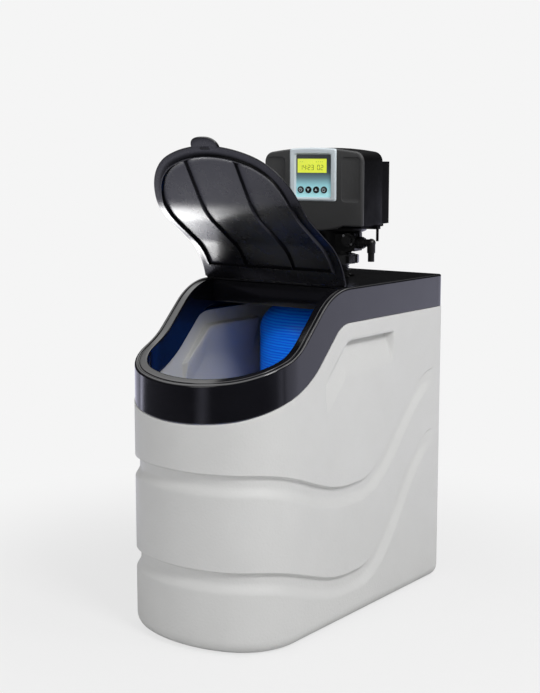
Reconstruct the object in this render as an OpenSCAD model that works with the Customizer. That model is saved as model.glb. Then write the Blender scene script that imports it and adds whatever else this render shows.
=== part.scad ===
// Water softener: cabinet, pressure tank and metered control valve.
// Millimetres. X to the right, the nose towards -Y, Z up, origin on the floor under the cabinet's middle.

/* [Cabinet] */
// width of the cabinet
width = 320; // [300:5:340]
// depth of the cabinet from nose to back
depth = 594; // [560:2:640]
// height of the deck above the floor
deck_z = 590; // [580:1:600]
// radius of the nose in plan
nose_r = 235; // [215:5:260]
// radius of the two front corners in plan
corner_r = 115; // [90:5:125]
// radius of the two upright back edges
back_r = 12; // [8:1:20]
// wall of the cabinet
wall = 5; // [4:0.5:6]
// radius of the edge round the floor
foot_r = 25; // [15:1:30]

/* [Top edge seen from the side] */
// where the flat deck ends and the lid begins to fall
bend_y = -22; // [-26:1:-18]
// radius of the shoulder
shoulder_r = 117; // [110:1:125]
// steepest angle of the fall
fall_deg = 45; // [42:1:48]
// length of the straight fall
fall_l = 61.7; // [50:0.1:70]
// radius of the hollow below the fall
hollow_r = 120; // [100:5:140]
// angle of the nose part
nose_deg = 20; // [16:1:22]
// height of the black band round the side, square to the edge
band_h = 60; // [50:1:64]

/* [Grooves] */
// height of the upper groove at the nose
groove1_z = 300; // [290:1:310]
// lowest height of the upper groove
dip1_z = 243; // [235:1:255]
// height of the upper groove at its back end
rise1_z = 412; // [400:1:420]
// height of the lower groove at the nose
groove2_z = 138; // [130:1:145]
// lowest height of the lower groove
dip2_z = 84; // [80:1:95]
// height of the lower groove at its back end
rise2_z = 296; // [280:1:305]
// depth of both grooves
groove_d = 8; // [4:0.5:9]

/* [Handle recess] */
// gap between the tank and the wall behind the recess
recess_gap = 7; // [5:0.5:14]
// front end of the recess
recess_y0 = -82; // [-90:1:-70]
// back end of the recess
recess_y1 = 118; // [100:1:130]
// distance of the ledge below the deck line
recess_drop = 90; // [86:1:100]
// height where the recess runs out
recess_low_z = 388; // [375:1:400]

/* [Cover] */
// thickness of cover and lid
sheet = 3; // [2.5:0.25:3.5]
// how far the cover stands in from the cabinet
cover_in = 1.2; // [0.5:0.1:2]
// width of the seat round the mouth
seat_w = 22; // [18:1:26]
// depth of the skirt round the mouth
skirt_h = 48; // [40:1:50]
// depth of the cross wall under the hinge
cross_h = 42; // [30:1:46]
// radius of the hole for the tank neck
deck_hole_r = 46; // [42:1:52]
// gap between cabinet and cover
seam = 0.4; // [0.3:0.1:0.8]

/* [Lid] */
// how far the lid stands open
lid_open_deg = 79.4; // [60:0.2:95]
// height of the hinge line above the deck
hinge_up = 4.5; // [4.4:0.1:6]
// radius of the hinge pins
hinge_pin_r = 2; // [1.5:0.1:2.2]
// radius of the hinge barrel
hinge_barrel_r = 4; // [3.8:0.1:4.2]
// distance of the hinge lugs from the middle
hinge_x = 78; // [60:1:100]
// width of the finger tab
tab_w = 58; // [40:1:62]
// reach of the finger tab
tab_out = 14; // [8:1:18]
// depth of the locating bead under the lid
bead_h = 5; // [3:0.5:6]
// distance of the two long ribs from the middle
rib_x = 52; // [40:1:70]
// edge of the lid inside the edge of the cover
lid_in = 5; // [2:0.5:6]
// flat strip between the hinge and the bead
strip_h = 22; // [16:1:30]

/* [Tank] */
// outer radius of the tank
tank_r = 131; // [125:1:133]
// gap between the tank and the back wall
tank_gap = 11; // [8:0.5:13]
// height where the straight part ends
tank_top_z = 490; // [470:1:495]
// height of the upper dome
dome_h = 72; // [60:1:76]
// wall of the tank
tank_wall = 5; // [4:0.5:6]
// outer radius of the neck thread
neck_thread_r = 35.9; // [35:0.1:37]
// level of the resin
resin_z = 380; // [250:5:420]
// outer radius of the riser tube
riser_r = 13.35; // [12.5:0.05:13.5]

/* [Valve] */
// turn of the valve on the tank
valve_turn = 9; // [0:1:12]
// radius of the flange
flange_r = 53; // [48:1:56]
// radius of the barrel
barrel_r = 24; // [23:0.5:26]
// height of the side arms above the deck
arm_z = 62; // [60:0.5:64]
// half distance of the two water ports
port_gap = 25; // [24:0.5:28]
// thread radius of the water connections
port_r = 13.2; // [12.5:0.1:13.3]
// length of the water connections
port_l = 38; // [25:1:45]
// radius of the brine tube
brine_r = 6; // [5:0.1:6.5]
// length of the brine tube below its arm
brine_l = 34; // [25:1:38]
// radius of the drain tube
drain_r = 6.35; // [5:0.05:7]
// length of the drain tube
drain_l = 28; // [15:1:32]
// gap of running parts
run = 0.05; // [0.03:0.01:0.08]

/* [Control head] */
// width of the head
head_w = 197; // [190:1:205]
// depth of the front housing
head_d = 88; // [84:1:92]
// how far the head stands in front of the tank axis
head_fwd = 75; // [73:1:76]
// height of the head top above the deck
head_top = 235; // [230:1:240]
// radius of the upper corners of the head
head_corner = 18; // [14:1:20]
// rise of the crowned top of the head
head_crown = 7; // [3:0.5:8]
// depth of the rear housing
rear_d = 50; // [36:1:56]
// wall of the housings
head_wall = 3; // [2.5:0.25:3.5]
// width of the display frame
bezel_w = 93; // [90:1:95]
// height of the display frame
bezel_h = 90; // [88:1:92]
// width of the display
lcd_w = 58; // [50:1:62]
// height of the display
lcd_h = 25; // [20:1:27]
// radius of the keys
key_r = 6; // [5:0.1:6.4]
// distance between the keys
key_pitch = 15.5; // [15:0.1:16]
// travel of the keys
key_travel = 0.8; // [0.5:0.1:1]

/* [Drive] */
// teeth of the drive gear
gear_teeth = 64; // [64:1:64]
// teeth of the pinion
pinion_teeth = 16; // [16:1:16]
// size of the teeth
gear_module = 1; // [1:0.05:1.05]
// thickness of the drive gear
gear_h = 7; // [5:0.5:8]
// radius of the motor
motor_r = 18; // [14:0.5:20]
// height of the motor
motor_h = 38; // [25:1:45]

/* [Brine side] */
// outer radius of the brine well
well_r = 40; // [38:0.5:42]
// height of the brine well
well_top = 372; // [360:1:376]
// travel of the float
float_travel = 30; // [10:1:32]
// radius of the float
float_r = 17; // [14:0.5:18]
// height of the float
float_h = 50; // [30:1:60]
// level of the salt platform
grid_z = 58; // [50:1:66]
// radius of the drain holes in the platform
grid_hole_r = 4; // [3:0.5:5]
// radius of the overflow tube
overflow_r = 7; // [6:0.25:8]

/* [Output] */
// piece to build, or all

/* [Hidden] */
$fn = 96;
eps = 0.01;
half_w = width / 2;
y_back = depth / 2;
y_front = -depth / 2;
tank_y = y_back - wall - tank_gap - tank_r;
// depth of the recess under its ledge, as much as the tank leaves free
recess_d = half_w - wall - recess_gap - tank_r;

// plan of the cabinet: nose arc, two corner arcs that meet it without a kink, straight sides, back corners
nose_cy = y_front + nose_r;
corner_x = half_w - corner_r;
corner_y = nose_cy - sqrt(pow(nose_r - corner_r, 2) - pow(corner_x, 2));
meet_deg = atan2(nose_cy - corner_y, corner_x);
side_end = y_back - back_r;

function on_arc(cx, cy, r, i, a) = [cx + (r - i) * cos(a), cy + (r - i) * sin(a), cos(a), sin(a)];

// points of the plan moved in by i, with m parts along each straight side, as x, y and the outward direction
function outline(i, m) = concat(
    [for (k = [0:m - 1]) [half_w - i, corner_y + (side_end - corner_y) * k / m, 1, 0]],
    [for (k = [0:3]) on_arc(half_w - back_r, side_end, back_r, min(i, back_r - 0.5), 30 * k)
        + [min(i, back_r - 0.5) - i, min(i, back_r - 0.5) - i, 0, 0]],
    [for (k = [0:3]) on_arc(back_r - half_w, side_end, back_r, min(i, back_r - 0.5), 90 + 30 * k)
        + [i - min(i, back_r - 0.5), min(i, back_r - 0.5) - i, 0, 0]],
    [for (k = [1:m]) [i - half_w, side_end + (corner_y - side_end) * k / m, -1, 0]],
    [for (k = [1:6]) on_arc(-corner_x, corner_y, corner_r, i, 180 + meet_deg * k / 6)],
    [for (k = [1:8]) on_arc(0, nose_cy, nose_r, i, 180 + meet_deg + (180 - 2 * meet_deg) * k / 8)],
    [for (k = [1:5]) on_arc(corner_x, corner_y, corner_r, i, 360 - meet_deg + meet_deg * k / 6)]
);

function flat_plan(i) = [for (p = outline(i, 1)) [p[0], p[1]]];

// top edge seen from the side, moved down by d square to itself, as y and z
fall_y = bend_y - shoulder_r * sin(fall_deg);
fall_z = deck_z - shoulder_r * (1 - cos(fall_deg));
hollow_y = fall_y - fall_l * cos(fall_deg) - hollow_r * sin(fall_deg);
hollow_z = fall_z - fall_l * sin(fall_deg) + hollow_r * cos(fall_deg);
run_out = 170;

function edge(d) = concat(
    [[y_back + 60, deck_z - d]],
    [for (k = [0:8]) [bend_y - (shoulder_r - d) * sin(fall_deg * k / 8),
        deck_z - shoulder_r + (shoulder_r - d) * cos(fall_deg * k / 8)]],
    [for (k = [0:5]) let (a = fall_deg + (nose_deg - fall_deg) * k / 5)
        [hollow_y + (hollow_r + d) * sin(a), hollow_z - (hollow_r + d) * cos(a)]],
    [[hollow_y + (hollow_r + d) * sin(nose_deg) - run_out * cos(nose_deg),
        hollow_z - (hollow_r + d) * cos(nose_deg) - run_out * sin(nose_deg)]]
);

function edge_z(y, d) = lookup(y, edge(d));
function backwards(list) = [for (k = [len(list) - 1:-1:0]) list[k]];
function clamp01(t) = min(1, max(0, t));
function ease(t) = (1 - cos(180 * clamp01(t))) / 2;

// height of a groove along the cabinet: level at the nose, a dip, then a swoop up to the back
groove_fall_y0 = -265;
groove_fall_y1 = -20;
groove_rise_y0 = 10;
groove_rise_y1 = 266;

function groove_z(y, nose_z, dip_z, rise_z) = dip_z
    + (nose_z - dip_z) * (1 - ease((y - groove_fall_y0) / (groove_fall_y1 - groove_fall_y0)))
    + (rise_z - dip_z) * ease((y - groove_rise_y0) / (groove_rise_y1 - groove_rise_y0));
function groove_tilt(y, n, d, r) = let (rise = groove_z(y + 2, n, d, r) - groove_z(y - 2, n, d, r))
    sqrt(1 + pow(rise / 4, 2));
function groove_fade(y) = 1 - ease((y - 190) / 80);

// one groove as four levels: lower shoulder, floor, crease, upper edge
function groove_rows(y, n, d, r) = let (z = groove_z(y, n, d, r), t = groove_tilt(y, n, d, r),
    f = groove_d * groove_fade(y))
    [[0, z - 36 * t], [f * 0.85, z - 18 * t], [f, z], [0, z + 11 * t]];

// handle recess: deep under the ledge, running out below
function recess_part(y) = ease((y - recess_y0) / 12) * (1 - ease((y - recess_y1 + 8) / 14));

// outer levels of the shell at one place of the plan, as depth and height, from the floor up
function outer_rows(y) = let (
    r1 = groove_rows(y, groove1_z, dip1_z, rise1_z),
    r2 = groove_rows(y, groove2_z, dip2_z, rise2_z),
    ledge = edge_z(y, recess_drop),
    low = max(recess_low_z - 60 * clamp01((-90 - y) / 60), r1[3][1] + 8),
    part = recess_d * recess_part(y),
    top = edge_z(y, band_h + seam))
    concat(
        [for (k = [0:3]) [foot_r * (1 - sin(30 * k)), foot_r * (1 - cos(30 * k))]],
        r2, r1,
        [for (k = [0:2]) [part * k / 3, low + (ledge - 4 - low) * k / 3]],
        [[part, ledge - 4], [0, ledge], [0, top - 1.5], [0.8, top]]
    );

// inner level that belongs to an outer one
function inner_row(k, row) = k < 4
    ? [wall + row[0] * (foot_r - wall) / foot_r, wall + row[1] * (foot_r - wall) / foot_r]
    : [wall + (k > 17 ? 0 : row[0]), row[1] + (k == 15 || k == 16 ? wall : 0)];

// point of the shell at a place of the plan; past the middle of a back corner it keeps a small round
function place(p, row) = let (
    d = p[1] > side_end - eps ? min(row[0], back_r - 0.5) : row[0],
    rest = row[0] - d)
    [p[0] - p[2] * d - sign(p[0]) * rest, p[1] - p[3] * d - rest, row[1]];

// frame of the valve and of the closed lid
module in_valve() {
    translate([0, tank_y, deck_z]) rotate([0, 0, valve_turn]) children();
}

hinge_y = bend_y - 4;
hinge_z = deck_z + hinge_up;

module in_lid() {
    translate([0, hinge_y, hinge_z]) rotate([-lid_open_deg, 0, 0])
        translate([0, -hinge_y, -hinge_z]) children();
}

module upright(i, z0, z1) {
    translate([0, 0, z0]) linear_extrude(z1 - z0) polygon(flat_plan(i));
}

module along_edge(d0, d1, w) {
    rotate([90, 0, 90]) linear_extrude(2 * w, center = true) polygon(concat(edge(d0), backwards(edge(d1))));
}

// ring of the plan from inset i to inset j, between edge depths d0 and d1
module rim(i, j, d0, d1) {
    intersection() {
        difference() {
            upright(i, 200, deck_z + 40);
            upright(j, 199, deck_z + 41);
        }
        along_edge(d0, d1, width);
    }
}

module front_of(y) {
    translate([-width, y_front - 100, 0]) cube([2 * width, y - y_front + 100, deck_z + 100]);
}

module tube(r, bore, h) {
    difference() {
        cylinder(r = r, h = h);
        translate([0, 0, -1]) cylinder(r = bore, h = h + 2);
    }
}

// cylinder along X or Y from a start point
module rod_x(r, x0, x1) {
    translate([x0, 0, 0]) rotate([0, 90, 0]) cylinder(r = r, h = x1 - x0);
}

module rod_y(r, y0, y1) {
    translate([0, y0, 0]) rotate([-90, 0, 0]) cylinder(r = r, h = y1 - y0);
}

// block given by two corners
module block(a, b) {
    translate(a) cube([b[0] - a[0], b[1] - a[1], b[2] - a[2]]);
}

// involute-like gear: straight flanks between four radii, thinned for play
module gear_flat(teeth, play) {
    m = gear_module;
    step = 360 / teeth;
    r = m * teeth / 2;
    half = step / 4 - play / r * 28.65;
    polygon([for (k = [0:teeth - 1]) for (q = [[r - 1.25 * m, -1.75], [r, -1], [r + 0.9 * m, -0.45],
        [r + 0.9 * m, 0.45], [r, 1], [r - 1.25 * m, 1.75]])
        [q[0] * cos(step * k + half * q[1]), q[0] * sin(step * k + half * q[1])]]);
}

// cabinet

overflow_x = 60 - half_w;
overflow_z = 430;
overflow_stub_r = overflow_r + 3.4;

module cabinet_shell() {
    ring = outline(0, 22);
    n = len(ring);
    rows = [for (p = ring) outer_rows(p[1])];
    m = len(rows[0]);
    outer = [for (k = [0:m - 1]) for (j = [0:n - 1]) place(ring[j], rows[j][k])];
    inner = [for (k = [0:m - 1]) for (j = [0:n - 1]) place(ring[j], inner_row(k, rows[j][k]))];
    skin = [for (k = [0:m - 2]) for (j = [0:n - 1]) let (a = k * n + j, b = k * n + (j + 1) % n)
        each [[a, a + n, b + n], [a, b + n, b]]];
    back = [for (k = [0:m - 2]) for (j = [0:n - 1]) let (a = (m + k) * n + j, b = (m + k) * n + (j + 1) % n)
        each [[a, b, b + n], [a, b + n, a + n]]];
    lip = [for (j = [0:n - 1]) let (a = (m - 1) * n + j, b = (m - 1) * n + (j + 1) % n)
        each [[a, a + m * n, b + m * n], [a, b + m * n, b]]];
    floor_faces = [for (j = [0:n - 1]) let (a = j, b = (j + 1) % n)
        each [[2 * m * n, a, b], [2 * m * n + 1, m * n + b, m * n + a]]];
    color([0.86, 0.86, 0.86]) difference() {
        polyhedron(points = concat(outer, inner, [[0, 0, 0], [0, 0, wall]]),
            faces = concat(skin, back, lip, floor_faces), convexity = 10);
        translate([overflow_x, 0, overflow_z]) rod_y(overflow_stub_r + 0.4, y_back - 20, y_back + 20);
    }
}

module top_cover() {
    i = cover_in;
    color([0.05, 0.05, 0.06]) difference() {
        union() {
            rim(i, i + sheet, 0, band_h);
            rim(i, wall + 3.4, band_h - 4, band_h);
            rim(wall + 0.6, wall + 3.4, band_h - 4, band_h + 14);
            intersection() {
                rim(i, i + seat_w, 0, sheet);
                front_of(hinge_y + 1);
            }
            intersection() {
                rim(i + seat_w - sheet, i + seat_w, 0, skirt_h);
                front_of(hinge_y + 1);
            }
            intersection() {
                upright(i, deck_z - sheet, deck_z);
                translate([-width, hinge_y, 0]) cube([2 * width, depth, deck_z + 1]);
            }
            block([i + seat_w - half_w - sheet, hinge_y, deck_z - cross_h],
                [half_w - i - seat_w + sheet, hinge_y + sheet, deck_z - eps]);
            for (s = [-1, 1]) translate([s * hinge_x, hinge_y, 0]) hinge_lug();
        }
        intersection() {
            rim(i + 6, i + 8.5, -1, 1.2);
            front_of(hinge_y - 8);
        }
        translate([0, tank_y, deck_z - 20]) cylinder(r = deck_hole_r, h = 40);
        translate([0, hinge_y, hinge_z]) rod_x(hinge_pin_r + run, -hinge_x - 20, hinge_x + 20);
    }
}

// lug with a round top that carries one hinge pin
module hinge_lug() {
    block([-5, -hinge_barrel_r, deck_z - eps], [5, hinge_barrel_r, hinge_z]);
    translate([0, 0, hinge_z]) rod_x(hinge_barrel_r, -5, 5);
}

module lid_hinge_pins() {
    color([0.75, 0.75, 0.77]) for (s = [-1, 1])
        translate([s * hinge_x, hinge_y, hinge_z]) rod_x(hinge_pin_r, -18, 18);
}

// the finger tab goes past the nose in the plane of the nose part
module tab_plan(r) {
    translate([0, y_front + tab_w / 2 - tab_out, 200]) cylinder(r = r, h = deck_z);
}

module lid() {
    i = cover_in + lid_in;
    b = cover_in + seat_w;
    lift = seam;
    color([0.06, 0.06, 0.07]) in_lid() difference() {
        union() {
            intersection() {
                upright(i, 200, deck_z + 40);
                along_edge(-lift - sheet, -lift, width);
                front_of(hinge_y);
            }
            intersection() {
                rim(b + 1, b + 3.5, -lift - eps, bead_h);
                front_of(hinge_y - strip_h);
            }
            intersection() {
                upright(b + 1, 200, deck_z + 40);
                along_edge(-lift - eps, bead_h, width);
                block([-width, hinge_y - strip_h - 2.5, 0], [width, hinge_y - strip_h, deck_z]);
            }
            for (s = [-1, 1]) intersection() {
                upright(b + 2, 200, deck_z + 40);
                along_edge(-lift - eps, bead_h - 1, width);
                block([s * rib_x - 1.25, y_front, 0], [s * rib_x + 1.25, hinge_y - strip_h - 1, deck_z]);
            }
            intersection() {
                tab_plan(tab_w / 2);
                along_edge(-lift - sheet - 3, -lift, width);
                front_of(y_front + 34);
            }
            translate([0, hinge_y, hinge_z]) rod_x(hinge_barrel_r, -half_w + i + 3, half_w - i - 3);
            block([i + 3 - half_w, hinge_y - 6, hinge_z - hinge_barrel_r],
                [half_w - i - 3, hinge_y, hinge_z]);
        }
        for (s = [-1, 1]) translate([s * hinge_x, hinge_y, 0])
            block([-5.4, -12, deck_z - 5], [5.4, 10, hinge_z + 10]);
        translate([0, hinge_y, hinge_z]) rod_x(hinge_pin_r + 0.02, -hinge_x - 20, hinge_x + 20);
        block([-10, y_front + 9, 200], [10, y_front + 13, deck_z]);
    }
}

module overflow_elbow() {
    color([0.1, 0.1, 0.1]) translate([overflow_x, 0, overflow_z]) difference() {
        union() {
            rod_y(overflow_stub_r + 6, y_back - wall - 4, y_back - wall);
            rod_y(overflow_stub_r, y_back - wall - 1, y_back + 20);
            translate([0, y_back + 20, 0]) sphere(r = overflow_stub_r);
            translate([0, y_back + 20, -14]) cylinder(r = overflow_stub_r, h = 14);
            translate([0, y_back + 20, -36]) cylinder(r = overflow_r, h = 23);
        }
        rod_y(overflow_r - 2, y_back - 30, y_back + 20);
        translate([0, y_back + 20, -40]) cylinder(r = overflow_r - 2, h = 40);
    }
}

module overflow_nut() {
    color([0.1, 0.1, 0.1]) translate([overflow_x, y_back, overflow_z]) rotate([-90, 0, 0]) difference() {
        cylinder(r = overflow_stub_r + 7, h = 7, $fn = 6);
        translate([0, 0, -1]) cylinder(r = overflow_stub_r + 0.05, h = 9);
    }
}

// tank

tank_low = wall + 15;
foot_dome_h = 60;
boot_r = tank_r - 13;
neck_r = neck_thread_r + 4.2;
neck_bore = neck_thread_r - 2.9;
neck_base = deck_z - 6;
valve_seat = 24;
spigot_r = 26.6;

// quarter of an ellipse as radius and height, going up from the rim of a dome
function dome(r, h, z, r_end) = [for (k = [0:9])
    let (a = acos(r_end / r) * k / 9) [r * cos(a), z + h * sin(a)]];
function bowl(r, h, z) = [for (k = [0:9]) [r * sin(10 * k), z - h * cos(10 * k)]];

module resin_tank() {
    t = tank_wall;
    z0 = tank_low + foot_dome_h;
    color([0.04, 0.36, 0.8]) translate([0, tank_y, 0]) rotate_extrude() difference() {
        polygon(concat([[0, tank_low]], bowl(tank_r, foot_dome_h, z0), [[tank_r, z0]],
            dome(tank_r, dome_h, tank_top_z, neck_r), [[neck_r, neck_base], [0, neck_base]]));
        polygon(concat([[-1, tank_low + t]], bowl(tank_r - t, foot_dome_h - t, z0), [[tank_r - t, z0]],
            dome(tank_r - t, dome_h - t, tank_top_z, neck_bore),
            [[neck_bore, neck_base + 1], [-1, neck_base + 1]]));
    }
}

module tank_base() {
    lean = sqrt(1 - pow((boot_r - 6) / tank_r, 2));
    h = tank_low + foot_dome_h * (1 - lean) - wall - 0.4;
    color([0.08, 0.08, 0.08]) translate([0, tank_y, wall]) difference() {
        tube(boot_r, boot_r - 6, h);
        for (k = [0:5]) rotate([0, 0, 60 * k + 30]) block([boot_r - 20, -18, -1], [boot_r + 20, 18, 12]);
    }
}

module tank_neck() {
    color([0.07, 0.07, 0.07]) translate([0, tank_y, 0]) difference() {
        union() {
            translate([0, 0, neck_base - 28]) cylinder(r = neck_bore - 0.02, h = 29);
            translate([0, 0, neck_base])
                cylinder(r = neck_thread_r - 1.8, h = deck_z + valve_seat - neck_base);
            translate([0, 0, neck_base]) cylinder(r = neck_thread_r + 2, h = 3);
            for (k = [0:6]) translate([0, 0, neck_base + 5.5 + 3.3 * k]) thread_ridge();
        }
        translate([0, 0, neck_base - 30]) cylinder(r = spigot_r + 0.4, h = 80);
    }
}

// one ridge of the neck thread
module thread_ridge() {
    rotate_extrude() polygon([[neck_thread_r - 3, -1], [neck_thread_r - 1.8, -1], [neck_thread_r, -0.2],
        [neck_thread_r, 0.2], [neck_thread_r - 1.8, 1], [neck_thread_r - 3, 1]]);
}

module neck_oring() {
    color([0.03, 0.03, 0.03]) translate([0, tank_y, deck_z + 8]) rotate_extrude()
        translate([spigot_r - 0.9, 0])
        circle(r = 1.2);
}

basket_z = deck_z - 2;

module top_basket() {
    color([0.9, 0.9, 0.86]) translate([0, tank_y, basket_z - 62]) difference() {
        cylinder(r = spigot_r - 1, h = 62);
        translate([0, 0, 3]) cylinder(r = spigot_r - 3.5, h = 70);
        translate([0, 0, -1]) cylinder(r = riser_r + 0.3, h = 10);
        for (k = [0:11]) rotate([0, 0, 30 * k]) block([spigot_r - 6, -0.4, 10], [spigot_r + 2, 0.4, 50]);
    }
}

riser_low = tank_low + 22;

module riser_tube() {
    color([0.88, 0.88, 0.85]) translate([0, tank_y, riser_low])
        tube(riser_r, riser_r - 2.2, deck_z + valve_seat - 3 - riser_low);
}

module bottom_basket() {
    color([0.9, 0.9, 0.86]) translate([0, tank_y, tank_low + 8]) difference() {
        cylinder(r = 28, h = 40);
        translate([0, 0, 3]) cylinder(r = 25, h = 34);
        translate([0, 0, 30]) cylinder(r = riser_r + 0.02, h = 20);
        for (k = [0:11]) rotate([0, 0, 30 * k]) block([20, -0.4, 8], [32, 0.4, 32]);
    }
}

module resin_bed() {
    t = tank_wall + 0.4;
    z0 = tank_low + foot_dome_h;
    color([0.75, 0.5, 0.2]) translate([0, tank_y, 0]) difference() {
        rotate_extrude() polygon(concat([[0, tank_low + t]], bowl(tank_r - t, foot_dome_h - t, z0),
            [[tank_r - t, z0], [tank_r - t, resin_z], [0, resin_z]]));
        translate([0, 0, tank_low]) cylinder(r = 28.4, h = 48.4);
        cylinder(r = riser_r + 0.3, h = resin_z + 10);
    }
}

// valve, in its own frame: origin on the tank axis at deck level

bore_r = 19;
core_floor = 46;
arm_r = 14.5;
arm_bore = 11;
arm_end = -64;
manifold_x = 42;
brine_arm_x = 67;
elbow_x = 83;
injector_x = 45;
top_flange_r = 37;
plate_z = 92;
screw_ring = 30;

module valve_body() {
    color([0.06, 0.06, 0.06]) in_valve() difference() {
        union() {
            translate([0, 0, -2]) tube(spigot_r, 22, valve_seat + 4);
            translate([0, 0, valve_seat]) cylinder(r = flange_r - 6, h = 16);
            for (k = [0:11]) rotate([0, 0, 30 * k + 15])
                block([30, -9, valve_seat], [flange_r, 9, valve_seat + 14]);
            translate([0, 0, valve_seat + 10]) cylinder(r = barrel_r, h = plate_z - valve_seat - 10);
            translate([0, 0, plate_z - 6]) cylinder(r = top_flange_r, h = 6);
            block([-manifold_x, -port_gap - 15, arm_z - 16], [-5, port_gap + 15, arm_z + 16]);
            for (s = [-1, 1]) translate([0, s * port_gap, arm_z]) rod_x(arm_r, arm_end, -10);
            block([10, -17, arm_z - 15], [brine_arm_x - 10, 17, arm_z + 17]);
            translate([0, 0, arm_z]) rod_x(11, 10, brine_arm_x);
            translate([0, 0, arm_z]) rod_y(12, 10, 46);
        }
        translate([0, 0, core_floor]) cylinder(r = bore_r, h = 80);
        translate([0, 0, -4]) cylinder(r = riser_r + 0.05, h = valve_seat + 1);
        translate([0, 0, valve_seat - 5]) cylinder(r = 10, h = core_floor);
        translate([0, 0, -4]) tube(22.5, 16.5, valve_seat + 4);
        translate([0, 0, 6.3]) tube(spigot_r + 2, spigot_r - 2.2, 3.4);
        for (s = [-1, 1]) translate([0, s * port_gap, arm_z]) rod_x(arm_bore, arm_end - 1, -24);
        for (s = [-1, 1]) translate([-28, s * port_gap, arm_z]) rotate([0, 0, -s * 40]) rod_x(7, 0, 26);
        translate([0, 0, arm_z]) rod_x(4, 15, brine_arm_x + 1);
        translate([elbow_x - 28, 0, arm_z]) rod_x(7.05, 0, 30);
        translate([0, 0, arm_z]) rod_y(5, 15, 47);
        translate([0, 32, arm_z]) rod_y(8.05, 0, 20);
        translate([injector_x, 0, arm_z + 6]) rod_y(5.05, -30, 6);
        for (s = [-1, 1]) translate([injector_x + 7.5 * s, 0, arm_z + 6 - 7.5 * s]) rod_y(1.25, -30, -5);
        for (k = [0:3]) rotate([0, 0, 90 * k + 45])
            translate([screw_ring, 0, plate_z - 5]) cylinder(r = 1.55, h = 20);
    }
}

module disc_seal() {
    color([0.03, 0.03, 0.03]) in_valve() translate([0, 0, core_floor]) tube(bore_r - 0.2, 12, 2.5);
}

module fixed_disc() {
    color([0.92, 0.92, 0.9]) in_valve() translate([0, 0, core_floor + 2.5]) difference() {
        cylinder(r = bore_r - 0.1, h = 6);
        for (k = [0:3]) rotate([0, 0, 90 * k]) translate([10, 0, -1]) cylinder(r = 4, h = 10);
    }
}

disc_z = core_floor + 8.5;

module moving_disc() {
    color([0.85, 0.86, 0.88]) in_valve() translate([0, 0, disc_z + run]) difference() {
        cylinder(r = bore_r - 0.6, h = 6);
        translate([10, 0, -1]) cylinder(r = 4, h = 10);
        translate([-10, 0, -1]) cylinder(r = 5.5, h = 4.5);
        translate([0, 0, 3]) cylinder(r = 5, h = 10, $fn = 4);
    }
}

shaft_r = 6;
shaft_low = disc_z + run + 3.2;
gear_z = 103;

module valve_shaft() {
    color([0.9, 0.9, 0.88]) in_valve() translate([0, 0, shaft_low]) union() {
        cylinder(r = 4.9, h = 3, $fn = 4);
        translate([0, 0, 2.9]) cylinder(r = shaft_r, h = gear_z + gear_h + 4 - shaft_low);
    }
}

module gland_nut() {
    color([0.12, 0.12, 0.12]) in_valve() translate([0, 0, plate_z - 16]) difference() {
        cylinder(r = bore_r - 0.02, h = 16);
        translate([0, 0, -1]) cylinder(r = shaft_r + run, h = 30);
        for (k = [0:3]) rotate([0, 0, 90 * k]) translate([13, 0, 8]) cylinder(r = 2.5, h = 10);
    }
}

// water meter in the front port
turbine_x = -50;

module meter_turbine() {
    color([0.2, 0.45, 0.75]) in_valve() translate([turbine_x, -port_gap, arm_z]) union() {
        rod_x(3, -5, 5);
        rod_x(1, -8, 8);
        for (k = [0:5]) rotate([60 * k, 0, 0]) rotate([0, 0, 25])
            block([-4, -0.6, 2], [4, 0.6, arm_bore - 1.2]);
    }
}

module meter_cage() {
    color([0.85, 0.85, 0.82]) in_valve() translate([turbine_x, -port_gap, arm_z]) for (s = [-1, 1])
        translate([s * 7, 0, 0]) difference() {
            union() {
                rotate([0, 90, 0]) translate([0, 0, -1]) tube(arm_bore - 0.02, arm_bore - 1.6, 2);
                rod_x(2.4, -1, 1);
                for (k = [0:2]) rotate([120 * k, 0, 0]) block([-1, -0.7, 1.5], [1, 0.7, arm_bore - 1]);
            }
            rod_x(1 + run, -5, 5);
        }
}

tail_z = arm_end - 0.2;

module port_tails() {
    color([0.8, 0.65, 0.35]) in_valve() for (s = [-1, 1]) translate([0, s * port_gap, arm_z]) difference() {
        union() {
            rod_x(port_r + 1.2, tail_z - 4, tail_z);
            rod_x(port_r - 0.8, tail_z - port_l, tail_z - 3.9);
            rod_x(port_r, tail_z - port_l + 1, tail_z - 12);
        }
        rod_x(arm_bore - 1.5, tail_z - port_l - 1, tail_z + 1);
    }
}

module union_nuts() {
    color([0.08, 0.08, 0.08]) in_valve() for (s = [-1, 1]) translate([0, s * port_gap, arm_z]) difference() {
        union() {
            rod_x(18.3, tail_z - 7.2, tail_z + 14);
            for (k = [0:11]) rotate([30 * k, 0, 0]) translate([0, 0, 17.6])
                rod_x(1.8, tail_z - 6, tail_z + 13);
        }
        rod_x(arm_r + 0.05, tail_z - 4.2, tail_z + 20);
        rod_x(port_r + 0.05, tail_z - 20, tail_z);
    }
}

module brine_elbow() {
    color([0.05, 0.05, 0.05]) in_valve() translate([elbow_x, 0, arm_z]) difference() {
        union() {
            rod_x(7, -26, 0);
            rod_x(9.5, -elbow_x + brine_arm_x + 0.2, -elbow_x + brine_arm_x + 3);
            sphere(r = 8.2);
            translate([0, 0, -brine_l]) cylinder(r = brine_r, h = brine_l);
            translate([0, 0, -brine_l + 16]) cylinder(r = brine_r + 1.6, h = brine_l - 16);
        }
        rod_x(3.5, -30, 0);
        translate([0, 0, -brine_l - 1]) cylinder(r = brine_r - 2, h = brine_l + 1);
    }
}

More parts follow.
